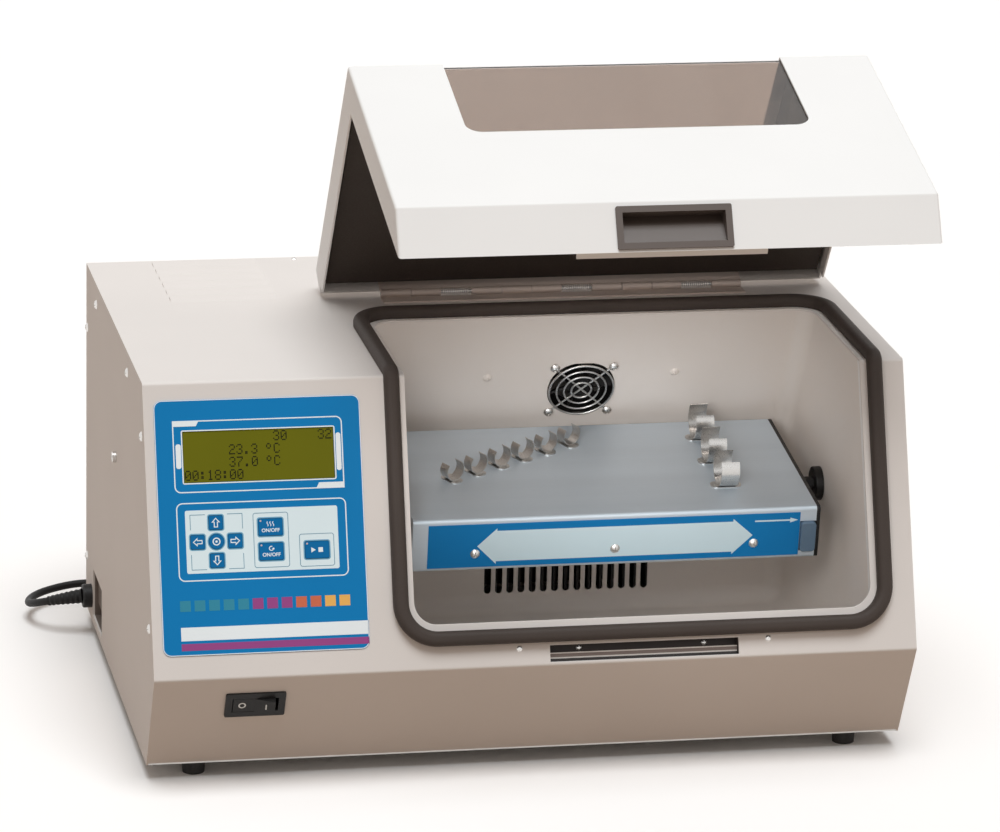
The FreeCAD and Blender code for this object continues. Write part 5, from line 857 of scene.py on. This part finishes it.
ARROW_OUTER = arrow(7.6, 3.7, 3.5, 1.6)
INNER_DROP = 0.12
ARROW_INNER = [(x, y - INNER_DROP) for x, y in arrow(6.0, 2.35, 1.9, 0.85)]
ENTER_RINGS = (3.1, 2.2, 0.9)
for key, way in ARROWS.items():
    turn = math.atan2(-way[0], way[1])
    arrows = [turned(points, turn, *arrow_spot(*way)) for points in (ARROW_OUTER, ARROW_INNER)]
    on_key(key, f"{key}_sign", arrows, INK_WHITE)
on_key("key_enter", "key_enter_sign", [ring(*ARROW_MIDDLE, radius) for radius in ENTER_RINGS], INK_WHITE)
print(len(ARROWS) + 1, "direction keys signed")

# %% [markdown]
# Signs on the mode keys
#
# Heat gets three waves, mixing a round arrow, and start and stop the usual triangle and square. The word
# below the first two is a text object turned into a mesh. Each of these keys also has a small lamp.

# %% Mode key signs
WORD_SIZE, WORD_WEIGHT = 3.9, 0.08
WAVE_SWAY, WAVE_HEIGHT, WAVE_HALF_LINE, WAVE_STEPS, WAVE_GAP = 0.45, 3.8, 0.3, 12, 2.2
ARC_RADIUS, ARC_HALF_LINE, ARC_START, ARC_SWEEP, ARC_STEPS = 1.6, 0.32, 60, 280, 24
ARC_HEAD = [(-1.1, 0), (0, 1.3), (1.1, 0)]
ARC_DROP = 0.1
PLAY = [(-4.6, -2.0), (-4.6, 2.0), (-1.0, 0)]
STOP = (1.0, -1.8, 4.6, 1.8)
STOP_CORNER = 0.2
UPPER, LOWER = 2.5, -2.6
LAMP_INSET, LAMP_RADIUS, LAMP_SIDES = (7.7, 5.0), 0.75, 20
LAMP_FINISH = finish("lamp_lens", screen(214, 190, 182), (0.2, 0.3), dark=0.95)


def word_mesh(word):
    """A word as a flat mesh round its middle"""
    text = bpy.data.curves.new(word, "FONT")
    text.body = word
    text.size = WORD_SIZE
    text.align_x, text.align_y = "CENTER", "CENTER"
    text.extrude = INK / 2
    text.offset = WORD_WEIGHT
    return meshed(word, text)


def wave(x, y):
    """A short upright wave"""
    shares = [step / WAVE_STEPS for step in range(WAVE_STEPS + 1)]
    low = y - WAVE_HEIGHT / 2
    middle = [(x + WAVE_SWAY * math.sin(2 * math.pi * share), low + WAVE_HEIGHT * share) for share in shares]
    there = [(px - WAVE_HALF_LINE, py) for px, py in middle]
    back = [(px + WAVE_HALF_LINE, py) for px, py in reversed(middle)]
    return there + back


def arc(x, y, radius, turns):
    """Points on a circle"""
    return [(x + radius * math.cos(turn), y + radius * math.sin(turn)) for turn in turns]


def round_arrow(x, y):
    """Most of a ring with an arrow head at its end"""
    turns = [math.radians(ARC_START + ARC_SWEEP * step / ARC_STEPS) for step in range(ARC_STEPS + 1)]
    outer = arc(x, y, ARC_RADIUS + ARC_HALF_LINE, turns)
    inner = arc(x, y, ARC_RADIUS - ARC_HALF_LINE, turns)
    tip = arc(x, y, ARC_RADIUS, turns[-1:])[0]
    return [outer + inner[::-1], turned(ARC_HEAD, turns[-1], *tip)]


def mode_sign(key, x, y):
    """Outlines of a mode key's sign"""
    if key == "key_heat":
        return [wave(x + step * WAVE_GAP, y + UPPER) for step in (-1, 0, 1)]
    if key == "key_mix":
        return round_arrow(x, y + UPPER - ARC_DROP)
    stop = oblong(x + STOP[0], y + STOP[1], x + STOP[2], y + STOP[3], STOP_CORNER)
    return [turned(PLAY, 0, x, y), stop]


for key, (x, y) in MODE_KEYS.items():
    on_key(key, f"{key}_sign", mode_sign(key, x, y), INK_WHITE)
    if key != "key_start":
        word_place = FRONT @ Matrix.Translation((x, y + LOWER, KEY_TOP + INK / 2))
        put_down(f"{key}_word", word_mesh("ON/OFF"), word_place, INK_WHITE, f"{key}_cap")
for key, (x, y) in MODE_KEYS.items():
    lamp = ring(x - LAMP_INSET[0], y + LAMP_INSET[1], LAMP_RADIUS, LAMP_SIDES)
    on_key(key, f"{key}_lamp", [lamp], LAMP_FINISH)
print(len(MODE_KEYS), "mode keys signed")

# %% [markdown]
# The platform's label
#
# The label on the tray's front edge carries one long double arrow and a small arrow at the release lever.
# It rides on the platform. Its panel is the tray's front face: the platform's frame, turned upright.

# %% Platform label
TRAY_HALF_DEPTH, TRAY_TOP, LABEL_THICKNESS = 87.5, 20.4, 0.4
tray_front = Matrix.Translation((0, -TRAY_HALF_DEPTH, TRAY_TOP))
LABEL = PLATFORM @ tray_front @ Matrix.Rotation(math.radians(90), 4, "X")
double_arrow = [
    (-33.7, -23.6),
    (-18.0, -8.4),
    (-18.0, -10.6),
    (175.0, -10.4),
    (175.0, -8.0),
    (191.6, -23.0),
    (175.0, -39.2),
    (175.0, -37.0),
    (-18.0, -37.3),
    (-18.0, -39.6),
]
release_arrow = [
    (193.0, -10.2),
    (222.0, -10.2),
    (222.0, -8.7),
    (228.5, -10.9),
    (222.0, -13.0),
    (222.0, -11.5),
    (193.0, -11.5),
]
INK_ICE = ink("ice", (212, 235, 244), 0.97, (0.30, 0.40))
printed("label_arrows", [double_arrow, release_arrow], LABEL, LABEL_THICKNESS, INK_ICE, body="platform")
print("label arrow", double_arrow[5][0] - double_arrow[0][0], "mm long")

# %% [markdown]
# The rocker's signs
#
# A mains rocker has a ring for off and a bar for on. Its two faces lean apart, so each sign gets its own
# small panel: the chin's, tilted first by the rocker's rest tilt and then by its face.

# %% Rocker signs
SWITCH_X, SWITCH_MIDDLE = -223.9, -29.55
ROCKER_TILT = 9.0
ROCKER_PIVOT = -4.0
ROCKER_HALF = 5.6
ROCKER_TIP, ROCKER_REACH = 2.6, 16.4
SIGN_REACH = 9.5
OFF_RING = (3.0, 1.9)
ON_BAR = (0.5, 2.8)
BAR_CORNER = 0.1
face_lean = math.degrees(math.atan2(ROCKER_TIP, ROCKER_REACH))
rocker_frame = (
    CHIN
    @ Matrix.Translation((SWITCH_X, SWITCH_MIDDLE, ROCKER_PIVOT))
    @ Matrix.Rotation(math.radians(-ROCKER_TILT), 4, "Y")
    @ Matrix.Translation((0, 0, ROCKER_HALF))
)
off_sign = [ring(-SIGN_REACH, 0, radius) for radius in OFF_RING]
on_sign = [oblong(SIGN_REACH - ON_BAR[0], -ON_BAR[1], SIGN_REACH + ON_BAR[0], ON_BAR[1], BAR_CORNER)]
for name, side, outlines in (("rocker_off_sign", -1, off_sign), ("rocker_on_sign", 1, on_sign)):
    face = rocker_frame @ Matrix.Rotation(math.radians(-side * face_lean), 4, "Y")
    printed(name, outlines, face, 0.0, INK_WHITE, "rocker")
print("rocker faces lean", round(face_lean, 1), "degrees each")

# %% [markdown]
# The hinge's springs
#
# Three closing springs sit between the knuckles of the lid's hinge. A spring is a helix, which follows a
# rule, so a tree makes it: a spiral with one radius, a round wire along it, laid down along the hinge and
# placed at each of three points. It replaces the plain coils of the CAD model.

# %% Hinge springs
HINGE_LEFT, HINGE_Y, HINGE_Z = -78.5, 226.0, CABINET_HEIGHT + 3.5
KNUCKLE = 25.4
SPRING_KNUCKLES = (2, 6, 10)
SPRING_TURNS = 13.0
SPRING_LENGTH = 23.2
SPRING_GAP = 1.1
SPRING_RADIUS = 2.6
WIRE = 0.5
STEPS_PER_TURN, WIRE_SIDES = 28, 10


def spring_tree():
    """A tree that lays a spring along X from each given point"""
    kinds = {"Turns": "Float", "Radius": "Float", "Length": "Float", "Wire": "Float", "Finish": "Material"}
    tree, given, put_out = geometry_tree("spring_row", kinds)
    winding = {
        "Resolution": STEPS_PER_TURN,
        "Rotations": given["Turns"],
        "Start Radius": given["Radius"],
        "End Radius": given["Radius"],
        "Height": given["Length"],
    }
    helix = add_node(tree, "GeometryNodeCurveSpiral", winding)
    circle = {"Resolution": WIRE_SIDES, "Radius": given["Wire"]}
    section = add_node(tree, "GeometryNodeCurvePrimitiveCircle", circle)
    sweep = {"Curve": helix.outputs["Curve"], "Profile Curve": section.outputs["Curve"], "Fill Caps": True}
    wire = add_node(tree, "GeometryNodeCurveToMesh", sweep)
    level = {"Geometry": wire.outputs["Mesh"], "Rotation": (0, math.radians(90), 0)}
    laid = add_node(tree, "GeometryNodeTransform", level)
    shape_on_points(tree, given, put_out, given["Geometry"], laid.outputs["Geometry"])
    return tree


SPRING_FINISH = finish("bright_spring", screen(246, 240, 235), (0.25, 0.4), dark=0.9, Metallic=0.5)
spring_values = {
    "Turns": SPRING_TURNS,
    "Radius": SPRING_RADIUS,
    "Length": SPRING_LENGTH - 2 * WIRE,
    "Wire": WIRE,
    "Finish": SPRING_FINISH,
}
spring_starts = []
for number in SPRING_KNUCKLES:
    spring_starts.append((HINGE_LEFT + number * KNUCKLE + SPRING_GAP, HINGE_Y, HINGE_Z))
spring_mesh = grown_mesh("closing_springs", spring_tree(), spring_values, spring_starts)
for face in spring_mesh.polygons:
    face.use_smooth = True
springs = put_down("closing_springs", spring_mesh, CABINET, SPRING_FINISH, "cabinet")
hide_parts("hinge_springs")
print(len(SPRING_KNUCKLES), "springs of", SPRING_TURNS, "turns")

# %% [markdown]
# The cord's relief, tie and plug
#
# A rubber sleeve keeps the cord from bending sharply where it leaves the grip. It follows points read from
# the cord's own line and tapers, with ribs. A strap ties the coil. The plug is a CAD node: its finish turns
# to metal past the plug's face, where the blades are.

# %% Cord pieces
RELIEF_LENGTH = 30.0
RELIEF_ROOT, RELIEF_TIP = 6.4, 4.1
RELIEF_STEPS = 84
RIBS, RIB_DEPTH = 7, 0.55


def sleeve(name, line, radius_at, sides=28):
    """A closed tube along a line, with a radius for each share of its length"""
    vertices, faces = [], []
    side_way = (line[1] - line[0]).cross(Vector((0, 0, 1))).normalized()
    for index, spot in enumerate(line):
        way = (line[min(index + 1, len(line) - 1)] - line[max(index - 1, 0)]).normalized()
        side_way = (side_way - way * side_way.dot(way)).normalized()
        up_way = side_way.cross(way)
        radius = radius_at(index / (len(line) - 1)) * MM
        for step in range(sides):
            angle = 2 * math.pi * step / sides
            vertices.append(spot + (side_way * math.cos(angle) + up_way * math.sin(angle)) * radius)
    for index in range(len(line) - 1):
        for step in range(sides):
            near, following = index * sides, (step + 1) % sides
            faces.append((near + step, near + sides + step, near + sides + following, near + following))
    faces.append(tuple(range(sides)))
    faces.append(tuple(range(len(line) * sides - 1, (len(line) - 1) * sides - 1, -1)))
    mesh = bpy.data.meshes.new(name)
    mesh.from_pydata(vertices, [], faces)
    mesh.update()
    return mesh


def stretch_of_line(line, length, count):
    """Evenly spaced points on the first stretch of a line"""
    spots, travelled, wanted = [line[0]], 0.0, 1
    for a, b in zip(line, line[1:]):
        step = (b - a).length
        while wanted <= count and travelled + step >= wanted * length / count:
            spots.append(a.lerp(b, (wanted * length / count - travelled) / step))
            wanted += 1
        travelled += step
    return spots


def relief_radius(share):
    """Taper of the relief, with grooves between its ribs"""
    body = RELIEF_ROOT + (RELIEF_TIP - RELIEF_ROOT) * share
    groove = 0.5 - 0.5 * math.cos(2 * math.pi * RIBS * share)
    return body - RIB_DEPTH * groove


relief_line = stretch_of_line(cord_line, RELIEF_LENGTH * MM, RELIEF_STEPS)
relief_mesh = sleeve("cord_relief", relief_line, relief_radius)
cord_black = finishes["cord_rubber"]
cord_relief = put_down("cord_relief", relief_mesh, Matrix(), cord_black, "cabinet")

TIE_WIDTH, TIE_GAUGE, TIE_LIFT = 12.0, 0.6, 0.03
TIE_OUTER_CORNER, TIE_INNER_CORNER, TIE_CORNER_STEPS = 3.4, 3.0, 8
TIE_TURN = 40.0
tie_inner = COIL_INNER - CORD_RADIUS
tie_outer = COIL_INNER + COIL_PITCH * COIL_TURNS + CORD_RADIUS
tie_height = COIL_PITCH + 2 * CORD_RADIUS
tie_section = [
    oblong(
        tie_inner - TIE_GAUGE,
        TIE_LIFT,
        tie_outer + TIE_GAUGE,
        tie_height + TIE_GAUGE,
        TIE_OUTER_CORNER,
        TIE_CORNER_STEPS,
    ),
    oblong(tie_inner, TIE_LIFT + TIE_GAUGE, tie_outer, tie_height, TIE_INNER_CORNER, TIE_CORNER_STEPS),
]
tie_place = (
    CABINET
    @ Matrix.Translation((COIL_CENTRE.x, COIL_CENTRE.y, -FOOT_HEIGHT))
    @ Matrix.Rotation(math.radians(TIE_TURN), 4, "Z")
    @ Matrix.Rotation(math.radians(90), 4, "X")
)
tie_mesh = flat_mesh("coil_tie", tie_section, TIE_WIDTH)
coil_tie = put_down("coil_tie", tie_mesh, tie_place, finishes["foot_rubber"], "cabinet")

BLADE_REACH, PAST_BLADES = 0.0162, 0.01
BRASS = screen(206, 196, 170)
plug_rubber = finish("plug_rubber", screen(34, 32, 31), (0.45, 0.6), dark=0.8, depth=0.2)
plug_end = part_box("mains_plug")[0][0]
banded(plug_rubber, (1, 0, 0), plug_end - PAST_BLADES, plug_end + BLADE_REACH, BRASS, metal=True)
for slot in nodes["mains_plug"].material_slots:
    slot.material = plug_rubber

cord_curve.materials.append(cord_black)
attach(cord, "cabinet")
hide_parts("cord_lead", "cord_coil")
print("relief", RELIEF_LENGTH, "mm, tie round", round(tie_outer - tie_inner, 1), "mm of coil")

# %% [markdown]
# Room and floor
#
# The object stands on a pale floor in a plain room. Both look white to the camera, and to metal and glass
# that mirror them, but the light they send back to the object is warm and weaker, less of it from low
# down. The Light Path node tells the two apart, so the white ground adds no light to the object.

# %% Room and floor
bpy.context.scene.view_settings.view_transform = "Standard"
WHITE = (1, 1, 1, 1)
ROOM_LOW, ROOM_HIGH = (0.20, 0.17, 0.15, 1), (0.46, 0.42, 0.385, 1)
FLOOR_BOUNCE, FLOOR_SEEN = (0.45, 0.355, 0.285, 1), (0.99, 0.96, 0.94, 1)
FLOOR_HALF = 30.0
FLOOR_ROUGHNESS = 0.9


def two_tones(tree, sent, seen):
    """The light sent to the object, or the colour that camera, metal and glass see"""
    path = tree.nodes.new("ShaderNodeLightPath").outputs
    mirrored = math_node(tree, "MAXIMUM", path["Is Camera Ray"], path["Is Glossy Ray"])
    either = math_node(tree, "MAXIMUM", mirrored, path["Is Transmission Ray"])
    return mix_node(tree, either, sent, seen)


world = bpy.data.worlds.new("room")
world.use_nodes = True
bpy.context.scene.world = world
room = world.node_tree
direction = room.nodes.new("ShaderNodeTexCoord").outputs["Generated"]
height = add_node(room, "ShaderNodeSeparateXYZ", {"Vector": direction}).outputs["Z"]
room_light = mix_node(room, height, ROOM_LOW, ROOM_HIGH)
room.links.new(two_tones(room, room_light, WHITE), room.nodes["Background"].inputs["Color"])

floor_finish = bpy.data.materials.new("pale_floor")
floor_finish.use_nodes = True
floor_tree = floor_finish.node_tree
floor_shader = floor_tree.nodes["Principled BSDF"]
floor_shader.inputs["Roughness"].default_value = FLOOR_ROUGHNESS
floor_shader.inputs["Specular IOR Level"].default_value = 0.0
floor_tone = two_tones(floor_tree, FLOOR_BOUNCE, FLOOR_SEEN)
floor_tree.links.new(floor_tone, floor_shader.inputs["Base Color"])
corners = [(x * FLOOR_HALF, y * FLOOR_HALF, 0) for x, y in ((-1, -1), (1, -1), (1, 1), (-1, 1))]
floor_mesh = bpy.data.meshes.new("floor")
floor_mesh.from_pydata(corners, [], [(0, 1, 2, 3)])
floor_mesh.materials.append(floor_finish)
floor = bpy.data.objects.new("floor", floor_mesh)
bpy.context.collection.objects.link(floor)
print("floor", 2 * FLOOR_HALF, "m wide")

# %% [markdown]
# The lamps
#
# A wide sun lamp, high and a little in front, lights the whole floor evenly, which an area lamp can't. A
# small area lamp fills the chamber under the open lid. Light linking keeps the lid's pieces out of its
# light, because a closed lid would stand close in front of it and show a bright spot.

# %% Lamps
SKY_LEVEL = 0.77
SKY_ANGLE = 36.0
SKY_FROM, SKY_DISTANCE = Vector((0, -0.325, 1)), 3
SKY_TONE = (0.94, 1, 1.04)
FILL_POWER = 0.13
FILL_SIZE = (0.3, 0.14)
FILL_SPREAD = 36.0
FILL_PLACE, FILL_AIM = Vector((-0.08, -0.52, 0.42)), Vector((0.14, 0.05, 0.17))


def shine(lamp_data, place, way):
    """A lamp at a place, shining one way"""
    lamp = bpy.data.objects.new(lamp_data.name, lamp_data)
    lamp.location = place
    lamp.rotation_euler = way.to_track_quat("-Z", "Y").to_euler()
    bpy.context.collection.objects.link(lamp)
    return lamp


sky = bpy.data.lights.new("soft_sky", "SUN")
sky.energy = SKY_LEVEL * math.pi
sky.angle = math.radians(SKY_ANGLE)
sky.color = SKY_TONE
shine(sky, SKY_FROM * SKY_DISTANCE, -SKY_FROM)
fill = bpy.data.lights.new("chamber_fill", "AREA")
fill.shape = "RECTANGLE"
fill.size, fill.size_y = FILL_SIZE
fill.spread = math.radians(FILL_SPREAD)
fill.energy = FILL_POWER
fill_lamp = shine(fill, FILL_PLACE, FILL_AIM - FILL_PLACE)
fill_lamp.visible_camera = False
unfilled = bpy.data.collections.new("unfilled_lid")
for name in nodes:
    if name.startswith("lid_"):
        unfilled.objects.link(nodes[name])
for link in unfilled.collection_objects:
    link.light_linking.link_state = "EXCLUDE"
fill_lamp.light_linking.receiver_collection = unfilled
print("sky level", SKY_LEVEL, "fill", FILL_POWER, "W")
